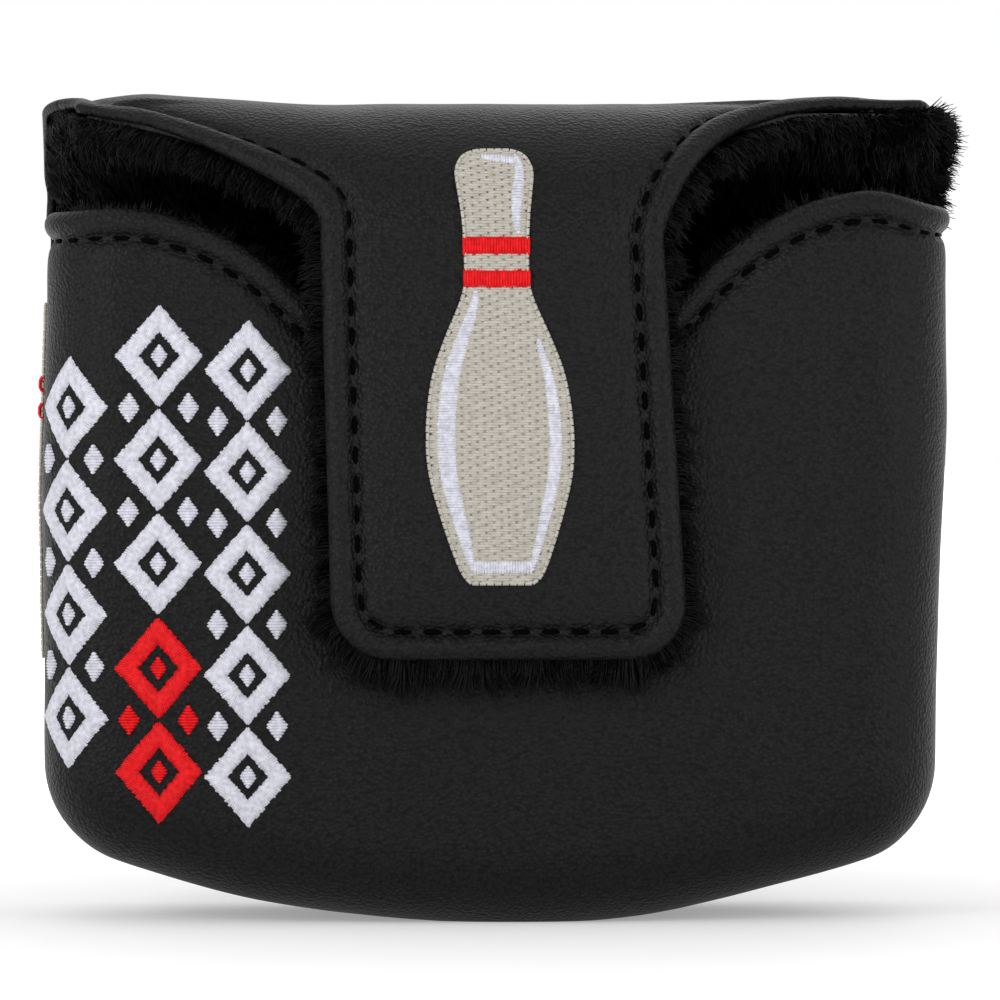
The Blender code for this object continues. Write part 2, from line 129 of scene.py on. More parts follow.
def blank_rim(angle, reach, radius):
    """A point on the blank's curved lower rim, reach beyond the flat face, at an angle from +X."""
    corner_x = half_width - corner_radius
    corner_z = base_radius - math.sqrt((base_radius - corner_radius) ** 2 - corner_x**2)
    turn = math.atan2(corner_z - base_radius, corner_x)
    side = math.copysign(1.0, math.cos(angle))
    from_side = math.asin(math.sin(angle))
    if from_side > turn:
        grown = corner_radius - radius + reach
        x = corner_x + grown * math.cos(from_side)
        return Vector((side * x, corner_z + grown * math.sin(from_side)))
    grown = base_radius - radius + reach
    return Vector((side * grown * math.cos(from_side), base_radius + grown * math.sin(from_side)))


def coons(across, down, top, left, right, bottom):
    """A point of the flat patch between four edges, each a function of its own share."""
    share = (across + 1) / 2
    rails = mix(top(across), bottom(across), down) + mix(left(down), right(down), share)
    ends = mix(mix(top(-1), top(1), share), mix(bottom(-1), bottom(1), share), down)
    return rails - ends


hem_height = 0.85 * mm
groove_depth = 0.3 * mm
padding_height = 0.5 * mm


def hem_swell(from_edge):
    """Height of the leather near a turned and stitched edge: a rounded hem, then the stitch line's
    groove, then the padding's rise."""
    hem = hem_height * math.sin(math.pi * min(1.0, max(0.0, from_edge / hem_width))) ** 0.8
    groove = groove_depth * math.exp(-(((from_edge - hem_width) / (0.8 * mm)) ** 2))
    rise = padding_height * (1 - math.exp(-max(0.0, from_edge - hem_width) / (2.4 * mm)))
    return hem + rise - groove


def walk(line, pitch):
    """Points spaced evenly along a line of (point, normal) pairs."""
    runs = [0.0]
    for (a, _), (b, _) in zip(line, line[1:]):
        runs.append(runs[-1] + (b - a).length)
    count = round(runs[-1] / pitch)
    spaced, at = [], 0
    for k in range(count + 1):
        run = runs[-1] * k / count
        while at < len(runs) - 2 and runs[at + 1] < run:
            at += 1
        part = (run - runs[at]) / max(1e-9, runs[at + 1] - runs[at])
        point = line[at][0].lerp(line[at + 1][0], part)
        spaced.append((point, line[at][1].lerp(line[at + 1][1], part).normalized()))
    return spaced


def thread_beds(holes):
    """Points along the part of every stitch that shows, for finding the nearest one."""
    beds = []
    for (a, _), (b, _) in zip(holes, holes[1:]):
        beds += [a.lerp(b, share) for share in (0.27, 0.38, 0.5, 0.62, 0.73)]
    tree = KDTree(len(beds))
    for k, point in enumerate(beds):
        tree.insert(point, k)
    tree.balance()
    return tree


def drawn_in(tree, point):
    """How far a stitch presses the leather down around it."""
    away = tree.find(point)[2]
    near, far = math.exp(-((away / (0.75 * mm)) ** 2)), math.exp(-((away / (1.8 * mm)) ** 2))
    return (0.34 * near + 0.16 * far) * mm


def drape(point, size, depth):
    """A slow, soft unevenness of stuffed leather."""
    return depth * noise.noise(point / size)


def turn_edge(bm, rim, radius_at, turn=math.pi, steps=9):
    """Rolls the rim's edges over to the sheet's inner side, round a radius given at each point."""
    bm.normal_update()
    frames = {}
    for edge in rim:
        a, b = edge.verts
        face = edge.link_faces[0]
        out = (b.co - a.co).normalized().cross(face.normal)
        if out.dot((a.co + b.co) / 2 - face.calc_center_median()) < 0:
            out.negate()
        for vert in (a, b):
            frames.setdefault(vert, Vector())
            frames[vert] += out
    frames = {v: (v.co.copy(), out.normalized(), v.normal.copy()) for v, out in frames.items()}
    for step in range(1, steps + 1):
        angle = turn * step / steps
        grown = bmesh.ops.extrude_edge_only(bm, edges=rim)["geom"]
        moved = {}
        for vert in (item for item in grown if isinstance(item, bmesh.types.BMVert)):
            source = next(e.other_vert(vert) for e in vert.link_edges if e.other_vert(vert) in frames)
            start, out, normal = frames[source]
            radius = radius_at(start)
            vert.co = start + out * radius * math.sin(angle) - normal * radius * (1 - math.cos(angle))
            moved[vert] = frames[source]
        frames = moved
        grown_edges = [item for item in grown if isinstance(item, bmesh.types.BMEdge)]
        rim = [edge for edge in grown_edges if all(vert in frames for vert in edge.verts)]


def sheet_grid(columns, rows, place):
    """A fine grid, each point moved to place(across, down), with across from -1 to 1 and down from
    0 to 1."""
    bm = bmesh.new()
    bmesh.ops.create_grid(bm, x_segments=columns, y_segments=rows, size=1.0)
    for vert in bm.verts:
        vert.co = place(vert.co.x, (1 - vert.co.y) / 2)
    return bm


def face_out(bm, away):
    """Turns the whole sheet over if its first faces don't look the way that away gives."""
    bm.normal_update()
    bm.faces.ensure_lookup_table()
    middle = bm.faces[len(bm.faces) // 2]
    if middle.normal.dot(away(middle.calc_center_median())) < 0:
        bmesh.ops.reverse_faces(bm, faces=bm.faces)


def add_piece(name, bm, *materials):
    mesh = bpy.data.meshes.new(name)
    bm.to_mesh(mesh)
    bm.free()
    mesh.shade_smooth()
    for material in materials:
        mesh.materials.append(material)
    piece = bpy.data.objects.new(name, mesh)
    bpy.context.scene.collection.objects.link(piece)
    return piece


def thicken(piece, thickness):
    """Gives a sheet its thickness, inwards from its outer face."""
    wall = piece.modifiers.new("wall", "SOLIDIFY")
    wall.thickness = thickness
    wall.offset = -1
    return piece


def new_material(name, base_color, roughness):
    material = bpy.data.materials.new(name)
    material.use_nodes = True
    nodes, links = material.node_tree.nodes, material.node_tree.links
    shader = nodes["Principled BSDF"]
    shader.inputs["Base Color"].default_value = (*base_color, 1)
    shader.inputs["Roughness"].default_value = roughness
    return material, nodes, links, shader


def add_bump(nodes, links, height, strength, distance, below=None):
    bump = nodes.new("ShaderNodeBump")
    bump.inputs["Strength"].default_value = strength
    bump.inputs["Distance"].default_value = distance
    links.new(height, bump.inputs["Height"])
    if below:
        links.new(below.outputs["Normal"], bump.inputs["Normal"])
    return bump


def make_leather():
    """Black polyurethane leather: a fine pebble grain, a satin skin and slight cloudiness."""
    material, nodes, links, shader = new_material("black_leather", (0.006, 0.006, 0.0065), 0.5)
    place = nodes.new("ShaderNodeTexCoord")
    pebble = nodes.new("ShaderNodeTexVoronoi")
    pebble.feature = "SMOOTH_F1"
    pebble.inputs["Scale"].default_value = 1900
    pebble.inputs["Smoothness"].default_value = 0.6
    links.new(place.outputs["Object"], pebble.inputs["Vector"])
    crease = nodes.new("ShaderNodeTexNoise")
    crease.inputs["Scale"].default_value = 1300
    crease.inputs["Detail"].default_value = 5
    links.new(place.outputs["Object"], crease.inputs["Vector"])
    cloud = nodes.new("ShaderNodeTexNoise")
    cloud.inputs["Scale"].default_value = 60
    cloud.inputs["Detail"].default_value = 3
    links.new(place.outputs["Object"], cloud.inputs["Vector"])
    gloss = nodes.new("ShaderNodeMapRange")
    gloss.inputs["To Min"].default_value = 0.36
    gloss.inputs["To Max"].default_value = 0.52
    links.new(cloud.outputs["Fac"], gloss.inputs["Value"])
    links.new(gloss.outputs["Result"], shader.inputs["Roughness"])
    tone = nodes.new("ShaderNodeMixRGB")
    tone.inputs["Color1"].default_value = (0.0085, 0.0082, 0.0092, 1)
    tone.inputs["Color2"].default_value = (0.0012, 0.0012, 0.0014, 1)
    shader.inputs["IOR"].default_value = 1.22
    valley = nodes.new("ShaderNodeMath")
    valley.operation = "MULTIPLY"
    links.new(crease.outputs["Fac"], valley.inputs[0])
    links.new(pebble.outputs["Distance"], valley.inputs[1])
    spread = nodes.new("ShaderNodeMapRange")
    spread.inputs["From Min"].default_value = 0.05
    spread.inputs["From Max"].default_value = 0.4
    links.new(valley.outputs["Value"], spread.inputs["Value"])
    links.new(spread.outputs["Result"], tone.inputs["Fac"])
    links.new(tone.outputs["Color"], shader.inputs["Base Color"])
    fine = add_bump(nodes, links, pebble.outputs["Distance"], 0.9, 0.2 * mm)
    broad = add_bump(nodes, links, crease.outputs["Fac"], 0.35, 0.2 * mm, fine)
    links.new(broad.outputs["Normal"], shader.inputs["Normal"])
    return material


leather = make_leather()
narrowing_right = 0.026
swelling_left = 0.008


def settle(point):
    """The soft pouch stands a little unevenly: it narrows to the lower right and swells on the left."""
    if point.x > 0:
        point.x *= 1 - narrowing_right * smooth_step((88 * mm - point.z) / (80 * mm))
    else:
        point.x *= 1 + swelling_left * math.sin(math.pi * min(1.0, max(0.0, point.z / (95 * mm))))
    return point


front_fillet = 11 * mm
mouth_roll = 1.85 * mm
seam_roll = 0.8 * mm
front_reach = front_fillet * math.pi / 2 + seam_y - seam_roll - front_low.y - front_fillet
seam_bend = math.radians(-40)  # how far round each bottom corner the blank's side edge runs


def front_blank(across, down):
    """A point of the front's flat blank, between its mouth edge and the rim that is seamed."""
    end = half_width - front_fillet + front_reach

    def top(a):
        x = fold(a * end, mouth_height, front_fillet)[0]
        return Vector((a * end, mouth_edge(x) - mouth_roll))

    def side(share, sign):
        corner = blank_rim(seam_bend, front_reach, front_fillet)
        straight = blank_rim(0.0, front_reach, front_fillet)
        height = top(sign).y - straight.y
        bend = (corner - straight).length * 1.08
        run = share * (height + bend)
        if run < height:
            point = Vector((straight.x, top(sign).y - run))
        else:
            point = blank_rim(seam_bend * (run - height) / bend, front_reach, front_fillet)
        return Vector((sign * point.x, point.y))

    def bottom(a):
        angle = math.radians(mix(-90, -40, abs(a) ** 0.9) if a >= 0 else mix(-90, -140, abs(a) ** 0.9))
        return blank_rim(angle, front_reach, front_fillet)

    # Rows lie close together along the hem
    down = 0.62 * down**1.9 + 0.38 * down
    return coons(across, down, top, lambda s: side(s, -1), lambda s: side(s, 1), bottom)


def front_surface(u, v, lift=0.0):
    """The point at that height above the front's leather, and the outward normal there."""
    x, z, depth, (nx, ny, nz) = fold(u, v, front_fillet)
    normal = Vector((nx, -ny, nz))
    return settle(Vector((x, front_low.y + depth, z)) + normal * lift), normal


def front_lift(u, v):
    x = fold(u, v, front_fillet)[0]
    slope = (mouth_edge(x + 0.5 * mm) - mouth_edge(x - 0.5 * mm)) / mm
    from_edge = (mouth_edge(x) - v) / math.hypot(1, slope)
    point = Vector((u, 0.0, v))
    soft = drape(point, 26 * mm, 0.45 * mm) + drape(point + Vector((0, 1, 0)), 11 * mm, 0.12 * mm)
    return hem_swell(from_edge) + soft * smooth_step((from_edge - 3 * mm) / (9 * mm))


def front_hem_line():
    """Along the mouth, one hem's width below its edge."""
    end = half_width - front_fillet + front_reach - 2 * mm
    line = []
    for i in range(361):
        u = mix(-end, end, i / 360)
        x = fold(u, mouth_height, front_fillet)[0]
        slope = (mouth_edge(x + 0.5 * mm) - mouth_edge(x - 0.5 * mm)) / mm
        level = math.hypot(1, slope)
        v = mouth_edge(x) - hem_width / level
        line.append(front_surface(u + hem_width * slope / level, v))
    return line


front_holes = walk(front_hem_line(), stitch_pitch)
front_beds = thread_beds(front_holes)


def front_point(across, down):
    u, v = front_blank(across, down)
    point, normal = front_surface(u, v)
    return point + normal * (front_lift(u, v) - drawn_in(front_beds, point))


front_grid = sheet_grid(250, 110, front_point)
face_out(front_grid, lambda at: Vector((0, -1, 0)) if abs(at.x) < 0.05 else Vector((at.x, 0, 0)))


def front_roll(at):
    """The mouth is rolled over the foam, and the seam's edges are only turned in."""
    above = at.z - (mouth_edge(at.x) - 2.6 * mm)
    return mix(seam_roll, mouth_roll, smooth_step(above / mm) if at.z > 60 * mm else 0.0)


turn_edge(front_grid, [edge for edge in front_grid.edges if edge.is_boundary], front_roll)
front_leather = thicken(add_piece("front_leather", front_grid, leather), leather_thickness)
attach(front_leather, "pouch")
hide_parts("front_shell")

# ---------------------------------------------------------------- Back and flap leather
# The back panel and the flap are one piece of leather. It rises from the base seam, bends over the
# mouth in an arch, and hangs down the front as a tongue, with its free edge turned and stitched.
# It is made in two lengths that meet unseen on top of the arch.

hinge = next(joint["pos_m"] for joint in frame["joints"] if joint["name"] == "flap_hinge")
crease = next(joint["pos_m"] for joint in frame["joints"] if joint["name"] == "tongue_fold")
tongue_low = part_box("tongue_shell")[0]
roof_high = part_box("roof_shell")[1]
arch_foot = hinge[2]
arch_rise = roof_high.z - arch_foot
arch_reach = (back_high.y - tongue_low.y) / 2
arch_middle = (back_high.y + tongue_low.y) / 2
flap_roll = 1.6 * mm
tongue_corner = 8.5 * mm
tongue_half_width = 23.9 * mm
tongue_flare = 1.0 * mm
tongue_top_shift = -1.6 * mm
tongue_foot_shift = 1.0 * mm
roof_half_width = 60 * mm
wing_reach_left = 5.2 * mm
wing_reach_right = 3.6 * mm
back_fillet = 9 * mm
back_reach = back_fillet * math.pi / 2 + back_high.y - back_fillet - seam_y - seam_roll - 0.1 * mm


def arch_point(turn):
    y = arch_middle - arch_reach * math.cos(turn)
    return Vector((0.0, y, arch_foot + arch_rise * math.sin(turn)))


arch_steps = 180
arch_runs = [0.0]
for step in range(arch_steps):
    near, far = (arch_point(math.pi * (step + k) / arch_steps) for k in (0, 1))
    arch_runs.append(arch_runs[-1] + (far - near).length)
arch_length = arch_runs[-1]


def arch_turn(run):
    """How far round the arch a length along it comes, from 0 at the tongue to pi at the back."""
    low = min(arch_steps - 1, int(run / arch_length * arch_steps))
    while arch_runs[low] > run and low > 0:
        low -= 1
    while arch_runs[low + 1] < run and low < arch_steps - 1:
        low += 1
    part = (run - arch_runs[low]) / (arch_runs[low + 1] - arch_runs[low])
    return math.pi * (low + part) / arch_steps


def flap_path(run):
    """The flap's path up the tongue, over the arch and down the back, by its length from the top of
    the tongue's straight part: the point and the outward normal."""
    if run < 0:
        return Vector((0.0, tongue_low.y, arch_foot + run)), Vector((0.0, -1.0, 0.0))
    if run > arch_length:
        return Vector((0.0, back_high.y, arch_foot + arch_length - run)), Vector((0.0, 1.0, 0.0))
    turn = arch_turn(run)
    slope = Vector((0.0, -math.cos(turn) / arch_reach, math.sin(turn) / arch_rise))
    return arch_point(turn), slope.normalized()


def tongue_share(run):
    return -run / (arch_foot - tongue_low.z)


def flap_middle(run):
    """The tongue hangs a little askew, so its middle moves across as it goes down."""
    if run <= 0:
        return mix(tongue_top_shift, tongue_foot_shift, tongue_share(run))
    return tongue_top_shift * max(0.0, 1 - arch_turn(min(run, arch_length)) / math.radians(90))


def flap_half_width(run, side):
    """The flap's width on one side of its middle. Its left wing spreads early and hangs low, and the
    right one is drawn up."""
    if run <= 0:
        return tongue_half_width + tongue_flare * tongue_share(run)
    share = arch_turn(min(run, arch_length)) / math.radians(90)
    if side < 0:
        wing = 1.42 * share**3 / (share**2 + 0.115)
    else:
        wing = 0.42 * share**2 / (share + 0.2) + 0.45 * share**4.5
        wing += 0.23 * smooth_step((share - 0.9) / 0.25)
    spread = (roof_half_width - tongue_half_width) * min(1.0, wing)
    reach = wing_reach_left if side < 0 else wing_reach_right
    return tongue_half_width + spread + reach * smooth_step((share - 0.86) / 0.36)


def from_flap_edge(x, run):
    """Distance from the flap's free edge, round the tongue's corners too."""
    across = x - flap_middle(run)
    ahead, behind = (flap_half_width(run + step * mm, across) for step in (0.5, -0.5))
    free = (flap_half_width(run, across) - abs(across)) / math.hypot(1, (ahead - behind) / mm)
    foot = run + arch_foot - tongue_low.z
    if free < tongue_corner and foot < tongue_corner:
        return tongue_corner - math.hypot(tongue_corner - free, tongue_corner - foot)
    return min(free, foot)


def flap_surface(x, run, lift=0.0):
    point, normal = flap_path(run)
    return point + Vector((x, 0.0, 0.0)) + normal * lift, normal


def flap_lift(x, run):
    """The leather over foam: a padded tongue, a slight sag across the top, soft unevenness, and
    hems that are pressed flat at the wings' ends."""
    edge = from_flap_edge(x, run)
    inside = smooth_step((edge - 3 * mm) / (9 * mm))
    at = Vector((x, 0.3, run))
    soft = drape(at, 24 * mm, 0.4 * mm) + drape(at, 10 * mm, 0.1 * mm)
    over_top = math.exp(-(((run - arch_length * 0.52) / (14 * mm)) ** 2))
    sag = over_top * (1.5 * mm * smooth_step((abs(x) - 20 * mm) / (36 * mm)) - 0.8 * mm)
    pressed = 1 - 0.7 * smooth_step((abs(x) - 48 * mm) / (9 * mm))
    return hem_swell(edge) * pressed + inside * (soft + 0.35 * mm) + sag


def tongue_row(down, low_run, high_run, corner):
    """Rows along the flap, drawn close where the tongue's corners turn under."""
    bend = 0.14
    if down > 1 - bend:
        return low_run + corner * (1 - math.cos(math.pi / 2 * (1 - down) / bend))
    return mix(high_run, low_run + corner, down / (1 - bend))


def flap_sheet(columns, rows, inset, high_run, lift_at):
    """The tongue and the front of the arch as a grid, drawn in from its free edge by inset."""
    low_run = tongue_low.z - arch_foot + inset
    corner = tongue_corner - inset

    def place(across, down):
        run = tongue_row(down, low_run, high_run, corner)
        half = flap_half_width(run, across) - inset
        short = low_run + corner - run
        if short > 0:
            half -= corner - math.sqrt(max(0.0, corner**2 - short**2))
        x = flap_middle(run) + across * half
        return flap_surface(x, run, lift_at(x, run))[0]

    return sheet_grid(columns, rows, place)


def flap_hem_line(side):
    """Up the flap's edge on one side, from the middle of the tongue's foot to the rear of the roof."""
    low_run = tongue_low.z - arch_foot + hem_width
    corner = tongue_corner - hem_width
    foot_half = flap_half_width(low_run, side) - hem_width - corner
    line = []
    for i in range(12):
        line.append(flap_surface(flap_middle(low_run) + side * foot_half * i / 12, low_run))
    for i in range(8):
        turn = math.pi / 2 * i / 8
        run = low_run + corner * (1 - math.cos(turn))
        x = flap_middle(run) + side * (foot_half + corner * math.sin(turn))
        line.append(flap_surface(x, run))
    end_run = arch_length - 7 * mm
    for i in range(261):
        run = mix(low_run + corner, end_run, i / 260)
        ahead, behind = (flap_half_width(run + step * mm, side) for step in (0.5, -0.5))
        half = flap_half_width(run, side) - hem_width * math.hypot(1, (ahead - behind) / mm)
        line.append(flap_surface(flap_middle(run) + side * half, run))
    return line


flap_holes = walk(flap_hem_line(-1)[::-1] + flap_hem_line(1)[1:], stitch_pitch)
flap_beds = thread_beds(flap_holes)


def flap_leather_lift(x, run):
    return flap_lift(x, run) - drawn_in(flap_beds, flap_surface(x, run)[0])


def wing_end(x):
    """0 on the tongue and 1 at the ends of the wings, where the flap's edge is pressed thin."""
    return smooth_step((abs(x) - 27 * mm) / (20 * mm))


def open_rim(bm, closed_at):
    """The rim's edges, without those that closed_at says are joined to the next length."""
    rim = [edge for edge in bm.edges if edge.is_boundary]
    return [edge for edge in rim if not all(closed_at(vert.co) for vert in edge.verts)]


split_run = arch_length * 0.53
split_at, split_normal = flap_path(split_run)
split_along = Vector((0.0, split_normal.z, -split_normal.y))


def at_split(point):
    return abs((point - split_at).dot(split_along)) < 0.3 * mm and point.z > arch_foot + 10 * mm


flap_grid = flap_sheet(120, 160, flap_roll, split_run, flap_leather_lift)
face_out(flap_grid, lambda at: Vector((0, -1, 0.5)))
turn_edge(flap_grid, open_rim(flap_grid, at_split), lambda at: mix(flap_roll, seam_roll, wing_end(at.x)))
flap_leather = thicken(add_piece("flap_leather", flap_grid, leather), leather_thickness)
bend_half_length = Vector((0, 6.0, 4.6)) * mm
bend_before, bend_after = Vector(crease) + bend_half_length, Vector(crease) - bend_half_length
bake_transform(flap_leather)
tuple(bend_before)
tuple(bend_after)
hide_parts("tongue_shell")


def back_edge(v, side):
    """Half-width of the back's blank: out to the side seam below, in to the flap's edge above."""
    end = half_width - back_fillet + back_reach
    run = arch_length - (v - arch_foot)
    free = flap_half_width(min(run, arch_length), side) - flap_roll
    return mix(end, free, smooth_step((v - arch_foot + 0.5 * mm) / (9 * mm)))


def back_surface(u, v, lift=0.0):
    """As front_surface, for the back panel and the rear of the arch. The leather is wrapped round
    the pouch's rear edge below and opens out flat above."""
    x, z, depth, (nx, ny, nz) = fold(u, v, back_fillet)
    if v <= arch_foot:
        normal = Vector((nx, ny, nz))
        return settle(Vector((x, back_high.y - depth, z)) + normal * lift), normal
    flat = smooth_step((v - arch_foot) / (11 * mm))
    point, out = flap_path(arch_length - (v - arch_foot))
    normal = (Vector((nx * (1 - flat), 0, 0)) + out * mix(ny, 1, flat)).normalized()
    point = point - out * depth * (1 - flat)
    point.x = mix(x, u, flat)
    return point + normal * lift, normal


def back_blank(across, down):
    split_v = arch_foot + arch_length - split_run
    straight = blank_rim(0.0, back_reach, back_fillet)
    corner = blank_rim(seam_bend, back_reach, back_fillet)
    height = split_v - straight.y
    bend = (corner - straight).length * 1.08

    def top(a):
        return Vector((a * back_edge(split_v, a), split_v))

    def side(share, sign):
        run = share * (height + bend)
        if run < height:
            return Vector((sign * back_edge(split_v - run, sign), split_v - run))
        point = blank_rim(seam_bend * (run - height) / bend, back_reach, back_fillet)
        return Vector((sign * point.x, point.y))

    def bottom(a):
        share = abs(a) ** 0.9
        angle = math.radians(mix(-90, -40 if a >= 0 else -140, share))
        return blank_rim(angle, back_reach, back_fillet)

    return coons(across, down, top, lambda s: side(s, -1), lambda s: side(s, 1), bottom)


def back_lift(u, v):
    at = Vector((u, 0.6, v))
    soft = drape(at, 30 * mm, 0.5 * mm) + drape(at, 12 * mm, 0.12 * mm)
    run = arch_length - (v - arch_foot)
    if v < arch_foot - 4 * mm:
        return soft + 0.65 * mm
    if v > arch_foot + 8 * mm:
        return flap_lift(u, run)
    share = smooth_step((v - arch_foot + 4 * mm) / (12 * mm))
    return mix(soft + 0.65 * mm, flap_lift(u, min(run, arch_length)), share)


def back_point(across, down):
    u, v = back_blank(across, down)
    point, normal = back_surface(u, v)
    return point + normal * (back_lift(u, v) - drawn_in(flap_beds, point))


back_grid = sheet_grid(140, 150, back_point)
face_out(back_grid, lambda at: Vector((0, 1, 0)))
turn_edge(back_grid, open_rim(back_grid, at_split), lambda at: seam_roll)
back_leather = thicken(add_piece("back_leather", back_grid, leather), leather_thickness)
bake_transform(back_leather)
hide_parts("back_shell", "roof_shell")

# ---------------------------------------------------------------- Topstitching
# Black bonded thread, sewn in lockstitch, holds the turned hems down. Each stitch comes up out of
# one needle hole and goes down into the next.


def make_thread(name, dark, light, roughness, sheen=0.0, gloss=1.25):
    """Twisted thread: a soft silky gloss, with the tone changing a little from stitch to stitch."""
    material, nodes, links, shader = new_material(name, light, roughness)
    place = nodes.new("ShaderNodeTexCoord")
    speck = nodes.new("ShaderNodeTexNoise")
    speck.inputs["Scale"].default_value = 1500
    speck.inputs["Detail"].default_value = 2
    links.new(place.outputs["Object"], speck.inputs["Vector"])
    ramp = nodes.new("ShaderNodeMapRange")
    ramp.inputs["From Min"].default_value = 0.3
    ramp.inputs["From Max"].default_value = 0.7
    links.new(speck.outputs["Fac"], ramp.inputs["Value"])
    tone = nodes.new("ShaderNodeMixRGB")
    tone.inputs["Color1"].default_value = (*dark, 1)
    tone.inputs["Color2"].default_value = (*light, 1)
    links.new(ramp.outputs["Result"], tone.inputs["Fac"])
    links.new(tone.outputs["Color"], shader.inputs["Base Color"])
    twist = nodes.new("ShaderNodeTexNoise")
    twist.inputs["Scale"].default_value = 5200
    links.new(place.outputs["Object"], twist.inputs["Vector"])
    bump = add_bump(nodes, links, twist.outputs["Fac"], 0.4, 0.05 * mm)
    links.new(bump.outputs["Normal"], shader.inputs["Normal"])
    shader.inputs["Sheen Weight"].default_value = sheen
    shader.inputs["IOR"].default_value = gloss
    return material


def threads(name, lines, radius, material, tapers=None):
    """Many short threads as round tubes, each through its own points."""
    curve = bpy.data.curves.new(name, "CURVE")
    curve.dimensions = "3D"
    curve.bevel_depth = radius
    curve.bevel_resolution = 0
    curve.use_fill_caps = True
    for line in lines:
        spline = curve.splines.new("POLY")
        spline.points.add(len(line) - 1)
        spline.points.foreach_set("co", [x for point in line for x in (*point, 1.0)])
        if tapers:
            spline.points.foreach_set("radius", tapers)
    bundle = bpy.data.objects.new(name, curve)
    bpy.context.scene.collection.objects.link(bundle)
    bpy.context.view_layer.update()
    shown = bundle.evaluated_get(bpy.context.evaluated_depsgraph_get())
    mesh = bpy.data.meshes.new_from_object(shown)
    bpy.data.objects.remove(bundle)
    mesh.shade_smooth()
    mesh.materials.clear()
    mesh.materials.append(material)
    piece = bpy.data.objects.new(name, mesh)
    bpy.context.scene.collection.objects.link(piece)
    return piece


black_thread = make_thread(
    "black_sewing_thread", (0.0006, 0.0006, 0.0006), (0.002, 0.002, 0.002), 0.8, gloss=1.08
)
groove_floor = hem_swell(hem_width)
thread_radius = 0.34 * mm


def lockstitch(holes):
    """One bowed length of thread in each bed, its ends pulled under the leather."""
    shares = ((0.17, -1.0), (0.24, -0.42), (0.34, -0.12), (0.66, -0.12), (0.76, -0.42), (0.83, -1.0))
    lines = []
    for (a, a_up), (b, b_up) in zip(holes, holes[1:]):
        up = (a_up + b_up).normalized()
        lines.append([a.lerp(b, t) + up * (groove_floor + h * mm) for t, h in shares])
    return lines


mouth_stitches = threads("mouth_stitches", lockstitch(front_holes), thread_radius, black_thread)
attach(mouth_stitches, "pouch")
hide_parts("front_topstitch")


def before_split(stitch):
    middle = (stitch[0] + stitch[-1]) / 2
    return (middle - split_at).dot(split_along) * split_side > 0


split_side = math.copysign(1.0, (Vector(crease) - split_at).dot(split_along))
flap_stitches = lockstitch(flap_holes)
tongue_stitches = threads(
    "flap_stitches", [line for line in flap_stitches if before_split(line)], thread_radius, black_thread
)
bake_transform(tongue_stitches)
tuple(bend_before)
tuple(bend_after)
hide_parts("tongue_topstitch")
roof_stitches = threads(
    "roof_stitches", [line for line in flap_stitches if not before_split(line)], thread_radius, black_thread
)
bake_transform(roof_stitches)
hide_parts("roof_topstitch_left", "roof_topstitch_right")

# ---------------------------------------------------------------- Foam
# Thin open-cell foam lies under all the leather and gives the cover its soft, full shape. It stops
# short of the turned edges, so it shows nowhere.


def make_foam():
    """Grey polyurethane foam: matt, with fine open cells."""
    material, nodes, links, shader = new_material("grey_foam", (0.1, 0.1, 0.105), 0.95)
    place = nodes.new("ShaderNodeTexCoord")
    cells = nodes.new("ShaderNodeTexVoronoi")
    cells.inputs["Scale"].default_value = 1600
    links.new(place.outputs["Object"], cells.inputs["Vector"])
    tone = nodes.new("ShaderNodeMixRGB")
    tone.inputs["Color1"].default_value = (0.05, 0.05, 0.055, 1)
    tone.inputs["Color2"].default_value = (0.14, 0.14, 0.145, 1)
    links.new(cells.outputs["Distance"], tone.inputs["Fac"])
    links.new(tone.outputs["Color"], shader.inputs["Base Color"])
    bump = add_bump(nodes, links, cells.outputs["Distance"], 0.6, 0.3 * mm)
    links.new(bump.outputs["Normal"], shader.inputs["Normal"])
    return material


grey_foam = make_foam()
foam_depth = 1.15 * mm
foam_thickness = 1.8 * mm


def front_foam_point(across, down):
    u, v = front_blank(across, mix(0.012, 1.0, down))
    return front_surface(u, v, -foam_depth)[0]


def back_foam_point(across, down):
    u, v = back_blank(across * 0.92, down)
    return back_surface(u, v, -foam_depth)[0]


front_foam_grid = sheet_grid(80, 50, front_foam_point)
face_out(front_foam_grid, lambda at: Vector((0, -1, 0)) if abs(at.x) < 0.045 else Vector((at.x, 0, 0)))
front_foam = thicken(add_piece("front_foam_sheet", front_foam_grid, grey_foam), foam_thickness)
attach(front_foam, "pouch")
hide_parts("front_foam")

back_foam_grid = sheet_grid(60, 80, back_foam_point)
face_out(back_foam_grid, lambda at: Vector((0, 1, 0)))
back_foam = thicken(add_piece("back_foam_sheet", back_foam_grid, grey_foam), foam_thickness)
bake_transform(back_foam)
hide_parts("back_foam", "roof_foam")

flap_foam_grid = flap_sheet(50, 70, 5 * mm, split_run, lambda x, run: -foam_depth)
face_out(flap_foam_grid, lambda at: Vector((0, -1, 0.5)))
flap_foam = thicken(add_piece("flap_foam_sheet", flap_foam_grid, grey_foam), foam_thickness)
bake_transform(flap_foam)
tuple(bend_before)
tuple(bend_after)
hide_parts("tongue_foam")

# ---------------------------------------------------------------- Plush lining
# Long-pile black plush lines the pouch and the flap. Its knitted ground lies against the foam, its
# pile lies over in tufts, and at every free edge it bushes out past the leather.

ground_thickness = 0.9 * mm


